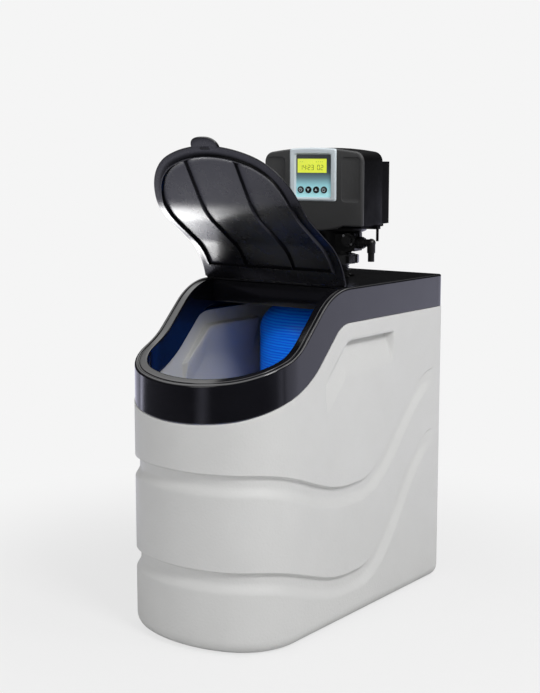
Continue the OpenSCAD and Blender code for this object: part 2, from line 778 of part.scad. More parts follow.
// spring clip over the end of the brine arm
module elbow_clip() {
    color([0.08, 0.08, 0.08]) in_valve() translate([brine_arm_x - 7, 0, arm_z]) difference() {
        union() {
            rod_x(13, -2, 2);
            block([-2, -5, 0], [2, 5, 19]);
        }
        rod_x(11.05, -5, 5);
        block([-5, -8, -20], [5, 8, -4]);
    }
}

module injector() {
    color([0.85, 0.3, 0.2]) in_valve() translate([injector_x, 0, arm_z + 6]) difference() {
        rod_y(5, -17, 5);
        rod_y(1.2, -30, 20);
        rod_y(3, -30, -4);
    }
}

module injector_cap() {
    color([0.2, 0.2, 0.2]) in_valve() translate([injector_x, -17, arm_z + 6]) difference() {
        union() {
            rod_y(12.5, -5, 0);
            rod_y(8, -11, -4);
        }
        for (s = [-1, 1]) translate([7.5 * s, 0, -7.5 * s]) rod_y(1.5, -20, 20);
        for (s = [-1, 1]) translate([7.5 * s, 0, -7.5 * s]) rod_y(2.75, -20, -4);
    }
}

module cap_screws() {
    color([0.75, 0.75, 0.77]) in_valve() for (s = [-1, 1])
        translate([injector_x + 7.5 * s, -17, arm_z + 6 - 7.5 * s]) screw_y(1.2, 2.5, 11, 4);
}

// pan screw along +Y: shank from the head at -lift to the length
module screw_y(r, head_r, length, lift) {
    difference() {
        union() {
            rod_y(r, -lift, length);
            rod_y(head_r, -lift - 2, -lift);
        }
        block([-head_r * 0.7, -lift - 3, -0.4], [head_r * 0.7, -lift - 1, 0.4]);
        block([-0.4, -lift - 3, -head_r * 0.7], [0.4, -lift - 1, head_r * 0.7]);
    }
}

module drain_elbow() {
    color([0.08, 0.08, 0.08]) in_valve() translate([0, 46, arm_z]) difference() {
        union() {
            rod_y(8, -13, 1);
            rod_y(11, 0.2, 6);
            rod_y(drain_r + 1.8, 5, 10);
            rod_y(drain_r, 9, 10 + drain_l);
        }
        rod_y(drain_r - 2.2, -20, 20 + drain_l);
    }
}

// control head

head_low = plate_z + 4;
head_front = -head_fwd;
head_rear = head_d - head_fwd;
panel_w = bezel_w - 24;
panel_h = bezel_h - 14;
bezel_z = head_top - 50;
bezel_low = bezel_z - bezel_h / 2;
lcd_z = bezel_z + 18;
key_z = bezel_z - 25;
pinion_x = gear_module * (gear_teeth + pinion_teeth) / 2;
motor_z = plate_z + 27;
motor_ear = 24;
post_x = head_w / 2 - 18;
post_low = head_low + 14;
post_high = head_top - 35;
back_top = head_top - 25;

module head_base() {
    color([0.1, 0.1, 0.1]) in_valve() difference() {
        union() {
            block([-head_w / 2 + 6, head_front + 8, plate_z], [head_w / 2 - 6, head_rear + 20, head_low]);
            for (s = [-1, 1]) translate([pinion_x, motor_ear * s, plate_z])
                cylinder(r = 4, h = motor_z - plate_z);
            block([elbow_x - 20, -7, plate_z - 4], [elbow_x + 15, 7, plate_z + 1]);
            translate([elbow_x + 12, 0, plate_z - 26]) cylinder(r = 2.5, h = 24);
        }
        translate([0, 0, plate_z - 1]) cylinder(r = 12, h = 10);
        for (s = [-1, 1]) translate([pinion_x, motor_ear * s, motor_z - 10]) cylinder(r = 1.25, h = 20);
        for (k = [0:3]) rotate([0, 0, 90 * k + 45])
            translate([screw_ring, 0, plate_z - 1]) cylinder(r = 1.8, h = 10);
    }
}

module base_screws() {
    color([0.75, 0.75, 0.77]) in_valve() for (k = [0:3]) rotate([0, 0, 90 * k + 45])
        translate([screw_ring, 0, head_low]) rotate([90, 0, 0]) rotate([180, 0, 0]) screw_y(1.5, 2.9, 8, 0);
}

// outline of the head seen from the front
module head_face(i, drop) {
    w = head_w / 2 - i;
    top = head_top - i;
    r = head_corner - i;
    x1 = w - r;
    xe = x1 + r * cos(80);
    zc = top - head_crown - r * sin(80);
    polygon(concat(
        [for (k = [0:6]) [x1 + r * cos(80 * k / 6), zc + r * sin(80 * k / 6)]],
        [for (k = [1:7]) [xe * (1 - k / 4), top - head_crown * pow(1 - k / 4, 2)]],
        [for (k = [6:-1:0]) [-x1 - r * cos(80 * k / 6), zc + r * sin(80 * k / 6)]],
        [[-w, head_low], [-58, head_low]],
        [for (k = [1:11]) [-58 + 116 * k / 12, head_low - drop * pow(sin(180 * k / 12), 0.7)]],
        [[58, head_low], [w, head_low]]
    ));
}

module head_slice(i, y0, y1, drop) {
    translate([0, y1, 0]) rotate([90, 0, 0]) linear_extrude(y1 - y0) head_face(i, drop);
}

// block centred on x and on a height, from y0 to y1
module panel(w, h, z, y0, y1) {
    block([-w / 2, y0, z - h / 2], [w / 2, y1, z + h / 2]);
}

module head_cover() {
    t = head_wall;
    color([0.16, 0.16, 0.17]) in_valve() difference() {
        union() {
            difference() {
                union() {
                    head_slice(0, head_front, head_front + 6, 10);
                    head_slice(0, head_front + 5, head_rear, 0);
                }
                difference() {
                    head_slice(t, head_front + 4, head_rear + 1, 0);
                    block([-head_w, head_front, 0], [head_w, head_front + 6, head_low + 1]);
                }
                block([-head_w / 2 + t, head_front + 6, plate_z - 20],
                    [head_w / 2 - t, head_rear + 1, head_low + 5]);
            }
            for (s = [-1, 1]) for (z = [post_low, post_high])
                translate([s * post_x, 0, z]) rod_y(5, head_front + 3, head_rear - 3.6);
            for (s = [-1, 1]) for (z = [-34, 34])
                translate([s * 54, 0, bezel_z + z]) rod_y(3, head_front + 3, head_front + 9);
        }
        block([-bezel_w / 2 - 0.3, head_front - 1, bezel_low - 0.3],
            [bezel_w / 2 + 0.3, head_front + 5, head_top + 1]);
        for (s = [-1, 1]) translate([s * (bezel_w + head_w) / 4 + s * 2, 0, 0])
            block([-19, head_front - 1, bezel_low - 1], [19, head_front + 1.5, head_top - 16]);
        for (s = [-1, 1]) for (z = [post_low, post_high])
            translate([s * post_x, 0, z]) rod_y(1.55, head_rear - 18, head_rear);
        for (s = [-1, 1]) for (z = [-34, 34])
            translate([s * 54, 0, bezel_z + z]) rod_y(1.05, head_front + 4, head_front + 12);
    }
}

module below(z) {
    intersection() {
        children();
        block([-head_w, -head_w, 0], [head_w, head_w, z]);
    }
}

module head_back() {
    t = head_wall;
    y1 = head_rear + rear_d;
    color([0.1, 0.1, 0.1]) in_valve() difference() {
        union() {
            head_slice(t + 0.2, head_rear - 3.4, head_rear - 0.4, 0);
            below(back_top) head_slice(8, head_rear - 1, y1, 0);
        }
        difference() {
            below(back_top - t) head_slice(8 + t, head_rear - 5, y1 - t, 0);
            for (s = [-1, 1]) for (z = [post_low, post_high])
                translate([s * post_x, 0, z]) rod_y(6, head_rear - 5, y1);
        }
        block([-head_w, head_rear - 5, 0], [head_w, head_rear + 20.2, head_low + 0.3]);
        block([-head_w / 2 + 11, head_rear - 5, 0], [head_w / 2 - 11, y1 - t, head_low + 3]);
        for (s = [-1, 1]) for (z = [post_low, post_high]) {
            translate([s * post_x, 0, z]) rod_y(4, head_rear, y1 + 1);
            translate([s * post_x, 0, z]) rod_y(1.8, head_rear - 5, y1);
        }
        translate([-45, 0, head_low + 18]) rod_y(6.3, y1 - 5, y1 + 1);
    }
}

module back_screws() {
    color([0.75, 0.75, 0.77]) in_valve() for (s = [-1, 1]) for (z = [post_low, post_high])
        translate([s * post_x, head_rear, z]) rotate([0, 0, 180]) screw_y(1.5, 3.2, 14, 0);
}

socket_bore = 2.8;

module power_socket() {
    y1 = head_rear + rear_d;
    color([0.03, 0.03, 0.03]) in_valve() translate([-45, 0, head_low + 18]) difference() {
        union() {
            rod_y(6.2, y1 - 12, y1 + 0.5);
            rod_y(8, y1 - 12, y1 - head_wall - 0.1);
        }
        rod_y(socket_bore, y1 - 9, y1 + 2);
    }
}

module bezel() {
    color([0.78, 0.82, 0.84]) in_valve() difference() {
        union() {
            intersection() {
                block([-bezel_w / 2, head_front - 2.5, bezel_low],
                    [bezel_w / 2, head_front + 5, head_top + 5]);
                head_slice(-0.4, head_front - 3, head_front + 6, 0);
            }
            panel(bezel_w + 6, bezel_h - 8, bezel_z, head_front + 4.05, head_front + 5.5);
        }
        panel(panel_w, panel_h, bezel_z, head_front - 5, head_front + 9);
        panel(panel_w + 7, panel_h + 7, bezel_z, head_front + 1.8, head_front + 9);
    }
}

key_at = [-1.5 * key_pitch, -0.5 * key_pitch, 0.5 * key_pitch, 1.5 * key_pitch];

module display_panel() {
    color([0.25, 0.45, 0.55]) in_valve() difference() {
        panel(panel_w + 6.8, panel_h + 6.8, bezel_z, head_front + 1.8, head_front + 3.4);
        translate([-3, 0, 0]) panel(lcd_w + 0.4, lcd_h + 0.4, lcd_z, head_front, head_front + 9);
        for (x = key_at) translate([x - 2, 0, key_z]) rod_y(key_r + 0.3, head_front, head_front + 9);
    }
}

board_y = head_front + 9;

module lcd() {
    color([0.86, 0.9, 0.22]) in_valve() translate([-3, 0, 0])
        panel(lcd_w, lcd_h, lcd_z, head_front + 2.2, board_y);
}

module key(n) {
    color([0.03, 0.03, 0.03]) in_valve() translate([key_at[n] - 2, 0, key_z]) union() {
        rod_y(key_r, head_front, board_y - 1.2 - key_travel);
        rod_y(key_r + 1.4, head_front + 3.6, head_front + 5);
    }
}

module button_menu() {
    key(0);
}

module button_down() {
    key(1);
}

module button_up() {
    key(2);
}

module button_regen() {
    key(3);
}

module circuit_board() {
    color([0.05, 0.35, 0.15]) in_valve() difference() {
        union() {
            panel(116, 80, bezel_z, board_y, board_y + 1.6);
            block([-40, board_y + 1.5, bezel_z - 30], [-18, board_y + 12, bezel_z - 12]);
            block([8, board_y + 1.5, bezel_z + 2], [34, board_y + 5, bezel_z + 20]);
        }
        for (s = [-1, 1]) for (z = [-34, 34])
            translate([s * 54, 0, bezel_z + z]) rod_y(1.3, board_y - 1, board_y + 9);
    }
}

module board_screws() {
    color([0.75, 0.75, 0.77]) in_valve() for (s = [-1, 1]) for (z = [-34, 34])
        translate([s * 54, board_y + 1.6, bezel_z + z]) rotate([0, 0, 180]) screw_y(1, 2.2, 6, 0);
}

module drive_gear() {
    color([0.9, 0.9, 0.86]) in_valve() difference() {
        union() {
            translate([0, 0, gear_z]) linear_extrude(gear_h) gear_flat(gear_teeth, 0.12);
            translate([0, 0, gear_z - 4]) cylinder(r = 10, h = gear_h + 7);
        }
        translate([0, 0, gear_z - 10]) cylinder(r = shaft_r + 0.02, h = 40);
        for (k = [0:5]) rotate([0, 0, 60 * k]) translate([20, 0, gear_z - 1]) cylinder(r = 6, h = 20);
    }
}

module motor_pinion() {
    color([0.8, 0.75, 0.5]) in_valve() translate([pinion_x, 0, 0]) union() {
        translate([0, 0, gear_z - 1]) rotate([0, 0, 180 + 180 / pinion_teeth])
            linear_extrude(gear_h + 2) gear_flat(pinion_teeth, 0.12);
        translate([0, 0, gear_z]) cylinder(r = 2.5, h = motor_z + 12 - gear_z);
    }
}

module drive_motor() {
    color([0.6, 0.6, 0.62]) in_valve() translate([pinion_x, 0, motor_z]) difference() {
        union() {
            translate([0, 0, 2.9]) cylinder(r = motor_r, h = motor_h);
            block([-8, -motor_ear - 6, 0], [8, motor_ear + 6, 3]);
            cylinder(r = 12, h = 3);
        }
        translate([0, 0, -1]) cylinder(r = 2.5 + run, h = 15);
        for (s = [-1, 1]) translate([0, motor_ear * s, -1]) cylinder(r = 1.4, h = 10);
    }
}

module motor_screws() {
    color([0.75, 0.75, 0.77]) in_valve() for (s = [-1, 1]) translate([pinion_x, motor_ear * s, motor_z + 3])
        rotate([-90, 0, 0]) screw_y(1.2, 2.4, 9, 0);
}

// brine side, at the right wall in front of the tank

well_x = half_w - wall - max(recess_d, groove_d + 1) - well_r - 1;
well_y = -55;
rod_off = 13;
dip_off = -22;
block_z = well_top - float_travel - 74;

module brine_well() {
    color([0.93, 0.93, 0.92]) translate([well_x, well_y, wall]) difference() {
        tube(well_r, well_r - 3, well_top - wall);
        for (k = [0:5]) rotate([0, 0, 60 * k]) block([well_r - 10, -2, -1], [well_r + 5, 2, 40]);
        translate([0, dip_off / 2, block_z + 24 - wall]) rod_x(8.3, -well_r - 5, 0);
    }
}

module well_cap() {
    color([0.93, 0.93, 0.92]) translate([well_x, well_y, well_top]) difference() {
        union() {
            cylinder(r = well_r + 2, h = 4);
            translate([0, 0, -8]) tube(well_r - 3.2, well_r - 6, 9);
        }
        translate([0, 0, -20]) cylinder(r = 6, h = 40);
    }
}

rod_r = 2.5;

module brine_valve() {
    color([0.92, 0.92, 0.92]) translate([well_x, well_y, block_z]) difference() {
        union() {
            block([-11, dip_off - 7, 0], [11, rod_off + 8, 48]);
            translate([0, dip_off / 2, 24]) rod_x(8, -well_r - 16, 0);
        }
        translate([0, rod_off, -1]) cylinder(r = rod_r + run, h = 60);
        translate([0, dip_off, -1]) cylinder(r = 5.05, h = 20);
        translate([0, dip_off / 2, 24]) rod_x(4, -well_r - 20, -14);
    }
}

module float_rod() {
    color([0.9, 0.9, 0.9]) translate([well_x, well_y + rod_off, 0]) union() {
        translate([0, 0, 150]) cylinder(r = rod_r, h = block_z + 56 - 150);
        translate([0, 0, block_z + 48.3]) cylinder(r = 5, h = 4);
    }
}

module float_cup() {
    color([0.95, 0.95, 0.95]) translate([well_x, well_y + rod_off, 170]) difference() {
        cylinder(r = float_r, h = float_h);
        translate([0, 0, -1]) cylinder(r = rod_r + 0.02, h = float_h + 2);
        translate([0, 0, -1]) tube(float_r - 2, rod_r + 3, float_h - 2);
    }
}

module air_check() {
    color([0.9, 0.9, 0.88]) translate([well_x, well_y + dip_off, 0]) difference() {
        union() {
            translate([0, 0, wall + 30]) cylinder(r = 5, h = block_z + 18 - wall - 30);
            translate([0, 0, wall]) cylinder(r = 11, h = 38);
        }
        translate([0, 0, wall + 3]) cylinder(r = 3.5, h = block_z);
        for (k = [0:3]) rotate([0, 0, 90 * k]) block([2, -1.5, wall + 4], [20, 1.5, wall + 20]);
    }
}

grid_in = 18;
grid_back = 8;

module salt_grid() {
    color([0.9, 0.9, 0.9]) difference() {
        union() {
            intersection() {
                upright(grid_in, grid_z, grid_z + 5);
                block([-width, y_front, 0], [width, grid_back, 200]);
            }
            for (x = [-90, 0]) for (y = [-210, -120, -20])
                translate([x, y, wall]) cylinder(r = 8, h = grid_z - wall + 1);
            translate([80, -170, wall]) cylinder(r = 8, h = grid_z - wall + 1);
        }
        translate([well_x, well_y, 0]) cylinder(r = well_r + 1.5, h = 200);
        for (x = [-4:4]) for (y = [0:7]) if (pow(26 * x, 2) + pow(30 * y - 90, 2) < 22000
            && norm([26 * x - well_x, 30 * y - 235 - well_y]) > well_r + 12)
            translate([26 * x + 13, 30 * y - 240, grid_z - 1]) cylinder(r = grid_hole_r, h = 10);
    }
}

cabinet_shell();
top_cover();
lid_hinge_pins();
lid();
overflow_elbow();
overflow_nut();
resin_tank();
tank_base();
tank_neck();
neck_oring();
top_basket();
riser_tube();
bottom_basket();
resin_bed();
valve_body();
disc_seal();
fixed_disc();
moving_disc();
valve_shaft();
gland_nut();
meter_turbine();
meter_cage();
port_tails();
union_nuts();
brine_elbow();
elbow_clip();
injector();
injector_cap();
cap_screws();
drain_elbow();
head_base();
base_screws();
head_cover();
head_back();
back_screws();
power_socket();
bezel();
display_panel();
lcd();
button_menu();
button_down();
button_up();
button_regen();
circuit_board();
board_screws();
drive_gear();
motor_pinion();
drive_motor();
motor_screws();
brine_well();
well_cap();
brine_valve();
float_rod();
float_cup();
air_check();
salt_grid();
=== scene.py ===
# %% [markdown]
# # Water softener
# A moulded salt cabinet with a gloss black cover and lid, a wound pressure tank inside and a control valve on
# the deck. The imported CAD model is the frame: every piece made here sits where that model says, in metres, and
# rides on one of its bodies. The large moulded skins are rebuilt as fine meshes, and small machined pieces keep
# their solids.

# %% Load the frame
import bpy
import bmesh
import math
import numpy as np
from functools import partial
from mathutils import Matrix, Vector


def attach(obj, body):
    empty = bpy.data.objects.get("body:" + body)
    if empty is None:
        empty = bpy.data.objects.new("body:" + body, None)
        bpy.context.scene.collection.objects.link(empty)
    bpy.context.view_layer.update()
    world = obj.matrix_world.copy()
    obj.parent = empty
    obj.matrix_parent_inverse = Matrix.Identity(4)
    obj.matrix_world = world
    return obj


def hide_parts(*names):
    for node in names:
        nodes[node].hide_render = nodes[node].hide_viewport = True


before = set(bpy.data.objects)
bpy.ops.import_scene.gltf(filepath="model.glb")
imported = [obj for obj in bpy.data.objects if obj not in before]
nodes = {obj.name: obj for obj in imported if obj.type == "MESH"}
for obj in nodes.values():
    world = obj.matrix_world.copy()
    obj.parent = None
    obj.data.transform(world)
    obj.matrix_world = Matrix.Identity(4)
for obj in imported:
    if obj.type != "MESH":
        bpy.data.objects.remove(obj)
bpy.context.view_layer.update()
MM = 0.001

# %% [markdown]
# ## Camera
# The camera stands in front and to the right, a little above the deck. Its place and lens were solved from the
# edges of the cabinet, so that the cabinet lands on the same pixels as in the picture.

# %% Camera
CAMERA_AT, CAMERA_AIM = (1.38145, -1.88504, 0.82160), (0, -0.0375, 0.477)
SENSOR_MM, LENS_MM, SEES_TO = 36, 68.45, 50
scene = bpy.context.scene
scene.view_settings.view_transform = "Standard"


def put(name, data):
    """Object of a mesh, a camera or a lamp, linked to the scene."""
    thing = bpy.data.objects.new(name, data)
    scene.collection.objects.link(thing)
    return thing


def look(thing, place, target):
    """Puts a camera or a lamp at a place, turned to a target."""
    thing.location = place
    thing.rotation_euler = (Vector(target) - Vector(place)).to_track_quat("-Z", "Y").to_euler()


camera_data = bpy.data.cameras.new("camera")
camera_data.sensor_fit = "VERTICAL"
camera_data.sensor_height, camera_data.lens, camera_data.clip_end = SENSOR_MM, LENS_MM, SEES_TO
camera = put("camera", camera_data)
look(camera, CAMERA_AT, CAMERA_AIM)
scene.camera = camera
print("camera at", tuple(round(v, 3) for v in camera.location))

# %% [markdown]
# ## Studio
# The world is a pale studio: the camera sees one even off-white, and gloss black shows a room that is pale
# overhead and dim round about, which is what gives black plastic its shape. The floor is the same off-white and
# keeps a soft shadow near the object, fading into the backdrop further out. Its mirror image carries the pale
# screens that stand round a product in a studio, given by bearing: without them gloss black would show as one
# flat grey.


# %% Small helpers for node trees
def new_tree(owner):
    """Empty node tree of a material or of the world."""
    owner.use_nodes = True
    owner.node_tree.nodes.clear()
    return owner.node_tree


def add(tree, kind, *operands, **values):
    """New node: values go to inputs of their names or to the node itself, operands to the inputs in order."""
    node = tree.nodes.new(kind)
    for key, value in [*values.items(), *enumerate(operands)]:
        if isinstance(value, bpy.types.NodeSocket):
            tree.links.new(value, node.inputs[key])
        elif isinstance(key, int) or key in node.inputs:
            node.inputs[key].default_value = value
        else:
            setattr(node, key, value)
    return node


def new_material(name):
    """Material with an empty tree; returns it, the tree and its Object coordinates."""
    material = bpy.data.materials.new(name)
    tree = new_tree(material)
    return material, tree, add(tree, "ShaderNodeTexCoord").outputs["Object"]


def end_in_skin(tree, sockets):
    """Principled shader and output at the end of a tree."""
    skin = add(tree, "ShaderNodeBsdfPrincipled", **sockets)
    add(tree, "ShaderNodeOutputMaterial", Surface=skin.outputs[0])


def maths(tree, operation, *operands):
    """One Math node; each operand is a socket or a number."""
    return add(tree, "ShaderNodeMath", *operands, operation=operation).outputs[0]


def ramp(tree, value, low, high, out_low=0.0, out_high=1.0):
    """Smooth step of a socket between two values."""
    ends = {"From Min": low, "From Max": high, "To Min": out_low, "To Max": out_high}
    node = add(tree, "ShaderNodeMapRange", interpolation_type="SMOOTHSTEP", Value=value, **ends)
    return node.outputs["Result"]


def colour_stops(tree, value, stops):
    """Colour ramp with the given places and colours."""
    tone = add(tree, "ShaderNodeValToRGB", Fac=value)
    for place, _ in stops[1:-1]:
        tone.color_ramp.elements.new(place)
    for stop, (place, colour) in zip(tone.color_ramp.elements, stops):
        stop.position = place
        stop.color = (*colour, 1)
    return tone.outputs["Color"]


def mix_shaders(tree, share, first, second):
    return add(tree, "ShaderNodeMixShader", share, first.outputs[0], second.outputs[0])


# %% World
PALE, WHITE = (0.913, 0.913, 0.913, 1), (1, 1, 1, 1)
ROOM_LIGHT, ROOM_DIM, ROOM_PALE = 0.5, 0.012, 3.0
world = bpy.data.worlds.new("studio")
scene.world = world
tree = new_tree(world)
path = add(tree, "ShaderNodeLightPath").outputs
way = add(tree, "ShaderNodeSeparateXYZ", Vector=add(tree, "ShaderNodeTexCoord").outputs["Generated"])
room = ramp(tree, way.outputs["Z"], 0.42, 0.86, ROOM_DIM, ROOM_PALE)
lit = add(tree, "ShaderNodeBackground", Color=WHITE, Strength=ROOM_LIGHT)
gloss = add(tree, "ShaderNodeBackground", Color=WHITE, Strength=room)
shown = add(tree, "ShaderNodeBackground", Color=PALE, Strength=1.0)
mirror = mix_shaders(tree, path["Is Glossy Ray"], lit, gloss)
direct = maths(tree, "MAXIMUM", path["Is Camera Ray"], path["Is Transmission Ray"])
add(tree, "ShaderNodeOutputWorld", Surface=mix_shaders(tree, direct, mirror, shown).outputs[0])
print("world ready")

# %% Floor
# Each screen has a bearing, as a share of the full turn, and a brightness.
SCREENS = ((0.0, 0.2), (0.014, 0.3), (0.027, 1.0), (0.037, 0.25), (0.046, 0.05), (0.2, 0.01), (0.22, 0.2),
           (0.24, 0.01), (0.45, 0.01), (0.5, 0.05), (0.53, 0.22), (0.545, 0.1), (0.56, 0.26), (0.62, 0.3),
           (0.68, 0.44), (1.0, 0.3))
REACH = 9
floor_mesh = bpy.data.meshes.new("floor")
corners = [(-REACH, -REACH, 0), (REACH, -REACH, 0), (REACH, REACH, 0), (-REACH, REACH, 0)]
floor_mesh.from_pydata(corners, [], [(0, 1, 2, 3)])
floor = put("floor", floor_mesh)
floor_paint, tree, at = new_material("floor_paint")
path = add(tree, "ShaderNodeLightPath").outputs
away = add(tree, "ShaderNodeVectorMath", operation="LENGTH", Vector=at).outputs["Value"]
bearing = add(tree, "ShaderNodeTexGradient", gradient_type="RADIAL", Vector=at)
screens = colour_stops(tree, bearing.outputs["Fac"], [(place, (v, v, v)) for place, v in SCREENS])
far = maths(tree, "MULTIPLY", screens, ramp(tree, away, 0.9, 1.6, 0.0, 3.0))
near = maths(tree, "MULTIPLY", ramp(tree, away, 0.5, 0.95, 0.03, 1.3), ramp(tree, away, 1.0, 1.5, 1.0, 0.0))
image = add(tree, "ShaderNodeEmission", Color=(0.97, 0.97, 1.2, 1), Strength=maths(tree, "ADD", far, near))
chalk = add(tree, "ShaderNodeBsdfDiffuse", Color=(0.8, 0.8, 0.8, 1))
glow = add(tree, "ShaderNodeEmission", Color=PALE, Strength=1.0)
mirror = mix_shaders(tree, path["Is Glossy Ray"], chalk, image)
fade = maths(tree, "MULTIPLY", path["Is Camera Ray"], ramp(tree, away, 0.35, 1.1, 0.74, 1.0))
add(tree, "ShaderNodeOutputMaterial", Surface=mix_shaders(tree, fade, mirror, glow).outputs[0])
floor_mesh.materials.append(floor_paint)
print("floor", tuple(floor.dimensions))

# %% Lamps
# Each lamp has a place, a target, a size and a power.
LAMPS = {"lamp_side": ((2.5, 0.6, 2.2), (0, 0, 0.35), (0.8, 0.8), 10),
         "lamp_front": ((-0.8, -3.0, 1.3), (0, 0, 0.35), (1.0, 1.2), 10),
         "lamp_key": ((2.2, -0.9, 2.4), (0, -0.1, 0.45), (0.8, 0.8), 42),
         "lamp_low": ((-0.62, -0.06, 0.2), (-0.1, -0.06, 0.73), (0.34, 0.2), 4.2),
         "lamp_mouth": ((0.3, -1.2, 1.9), (0.05, 0.05, 0.45), (0.4, 0.4), 17)}
lamps = {}
for name, (place, target, size, power) in LAMPS.items():
    data = bpy.data.lights.new(name, "AREA")
    data.shape, data.energy = "RECTANGLE", power
    data.size, data.size_y = size
    lamps[name] = put(name, data)
    lamps[name].visible_camera = False
    look(lamps[name], place, target)
lamps["lamp_low"].visible_diffuse = False
print("lamps", list(lamps))


def light_only(lamp, piece):
    """Lets a lamp light one piece only."""
    alone = bpy.data.collections.new(lamp.name + "_lights")
    alone.objects.link(piece)
    lamp.light_linking.receiver_collection = alone


# %% [markdown]
# ## Moulded finishes
# Moulded plastics differ mostly in their grain: the cabinet has a fine orange peel, the cover is polished and
# only slightly wavy, the control head has a matt eroded grain. One builder makes them all from Object
# coordinates: a broad noise shifts the colour a little, a middle one the roughness, and a fine one lifts the
# surface.


# %% Moulded finish builder
def grain_bump(tree, at, grain, lift):
    fine = add(tree, "ShaderNodeTexNoise", Scale=0.25 / grain, Detail=2.0, Roughness=0.5, Vector=at)
    bump = add(tree, "ShaderNodeBump", Strength=lift, Distance=grain, Height=fine.outputs["Fac"])
    return bump.outputs["Normal"]


def moulded(name, colour, rough, grain, lift, shift, metal=0.0, spread=0.08, shine=0.5, glow=0.0):
    material, tree, at = new_material(name)
    noise = partial(add, tree, "ShaderNodeTexNoise", Vector=at)
    broad, smudge = noise(Scale=9.0, Detail=3.0, Roughness=0.55), noise(Scale=28.0, Detail=4.0, Roughness=0.6)
    dark, pale = [tuple(min(1.0, c * share) for c in colour) for share in (1 - shift, 1 + shift)]
    tone = colour_stops(tree, broad.outputs["Fac"], ((0.3, dark), (0.7, pale)))
    dull, polished = min(1.0, rough + spread), max(0.03, rough - spread)
    sockets = {"Base Color": tone, "Emission Color": tone, "Emission Strength": glow,
               "Specular IOR Level": shine, "Metallic": metal,
               "Roughness": ramp(tree, smudge.outputs["Fac"], 0.25, 0.75, polished, dull),
               "Normal": grain_bump(tree, at, grain, lift)}
    end_in_skin(tree, sockets)
    return material


# %% Finishes
# Each finish has a colour, roughness, grain in metres, lift of the grain, shift of the colour, and what else
# differs from the usual.
FINISHES = {
    "cabinet_grey": ((0.61, 0.61, 0.603), 0.55, 0.0011, 0.35, 0.02, {"shine": 0.3}),
    "cover_black": ((0.005, 0.005, 0.0068), 0.14, 0.0015, 0.03, 0.12, {"spread": 0.03}),
    "lid_black": ((0.0026, 0.0026, 0.0036), 0.27, 0.0012, 0.015, 0.12, {"spread": 0.02, "shine": 0.4}),
    "valve_black": ((0.009, 0.009, 0.0095), 0.34, 0.0005, 0.2, 0.15, {"shine": 0.35}),
    # The head's plastic comes in two copies: a lighter one for its front and a much darker one for its sides,
    # back and base. This is painted light and painted shade.
    "head_lit_grey": ((0.048, 0.0482, 0.049), 0.5, 0.0005, 0.35, 0.08, {"shine": 0.28}),
    "head_shaded_black": ((0.004, 0.004, 0.0043), 0.5, 0.0005, 0.25, 0.1, {"shine": 0.02}),
    "bezel_grey": ((0.66, 0.73, 0.77), 0.33, 0.0005, 0.08, 0.03, {}),
    "key_black": ((0.006, 0.007, 0.008), 0.25, 0.0004, 0.05, 0.1, {}),
    "key_mark": ((0.62, 0.74, 0.78), 0.4, 0.0004, 0.05, 0.03, {}),
    "lcd_green": ((0.66, 0.74, 0.06), 0.22, 0.0004, 0.03, 0.05, {"glow": 0.5}),
    "lcd_ink": ((0.03, 0.04, 0.012), 0.4, 0.0004, 0.03, 0.1, {}),
    "seal_rubber": ((0.012, 0.012, 0.012), 0.65, 0.0005, 0.2, 0.1, {}),
    "white_plastic": ((0.72, 0.72, 0.69), 0.42, 0.0006, 0.15, 0.03, {}),
    "resin_amber": ((0.45, 0.22, 0.05), 0.5, 0.0006, 0.8, 0.3, {}),
    "turbine_blue": ((0.05, 0.2, 0.5), 0.4, 0.0004, 0.1, 0.06, {}),
    "cap_grey": ((0.02, 0.02, 0.021), 0.3, 0.0005, 0.12, 0.06, {}),
    "ceramic_white": ((0.8, 0.8, 0.77), 0.15, 0.0004, 0.03, 0.02, {}),
    "brass_metal": ((0.62, 0.44, 0.18), 0.28, 0.0005, 0.1, 0.08, {"metal": 1.0}),
    "screw_steel": ((0.6, 0.6, 0.62), 0.25, 0.0004, 0.15, 0.06, {"metal": 1.0}),
    "motor_metal": ((0.45, 0.45, 0.47), 0.35, 0.0005, 0.1, 0.05, {"metal": 1.0}),
    "board_green": ((0.01, 0.12, 0.04), 0.4, 0.0005, 0.2, 0.15, {}),
}
finish = {name: moulded(name, *row, **other) for name, (*row, other) in FINISHES.items()}
print("finishes", len(finish))

# %% [markdown]
# ## Plan and side view of the cabinet
# Everything large follows two curves: the plan, made of a nose arc, two corner arcs and straight sides, and the
# top edge seen from the side, which stays level over the deck and falls to the nose in an S. Both are written
# as functions here, with the sizes of the CAD model, so cabinet, cover and lid fit each other at any fineness.

# %% Plan
HALF_W, Y_FRONT, Y_BACK, DECK, TANK_Y = 160.0, -297.0, 297.0, 590.0, 150
NOSE_R, CORNER_R, BACK_R, WALL = 235.0, 115.0, 12.0, 5.0
NOSE_CY = Y_FRONT + NOSE_R
CORNER_X = HALF_W - CORNER_R
CORNER_Y = NOSE_CY - math.sqrt((NOSE_R - CORNER_R) ** 2 - CORNER_X ** 2)
MEET = math.atan2(NOSE_CY - CORNER_Y, CORNER_X)
SIDE_END = Y_BACK - BACK_R
HINGE_Y, HINGE_Z = -26.0, 594.5


def arc_part(cx, cy, r, a0, a1, n):
    """Arc of the plan as x, y and outward direction, without its last point."""
    a = np.linspace(a0, a1, n, endpoint=False)
    return np.c_[cx + r * np.cos(a), cy + r * np.sin(a), np.cos(a), np.sin(a)]


def side_at(y):
    """Places on the straight right side of the plan."""
    return np.c_[np.full(len(y), HALF_W), y, np.ones(len(y)), np.zeros(len(y))]


def side_part(y0, y1, n):
    return side_at(np.linspace(y0, y1, n, endpoint=False))


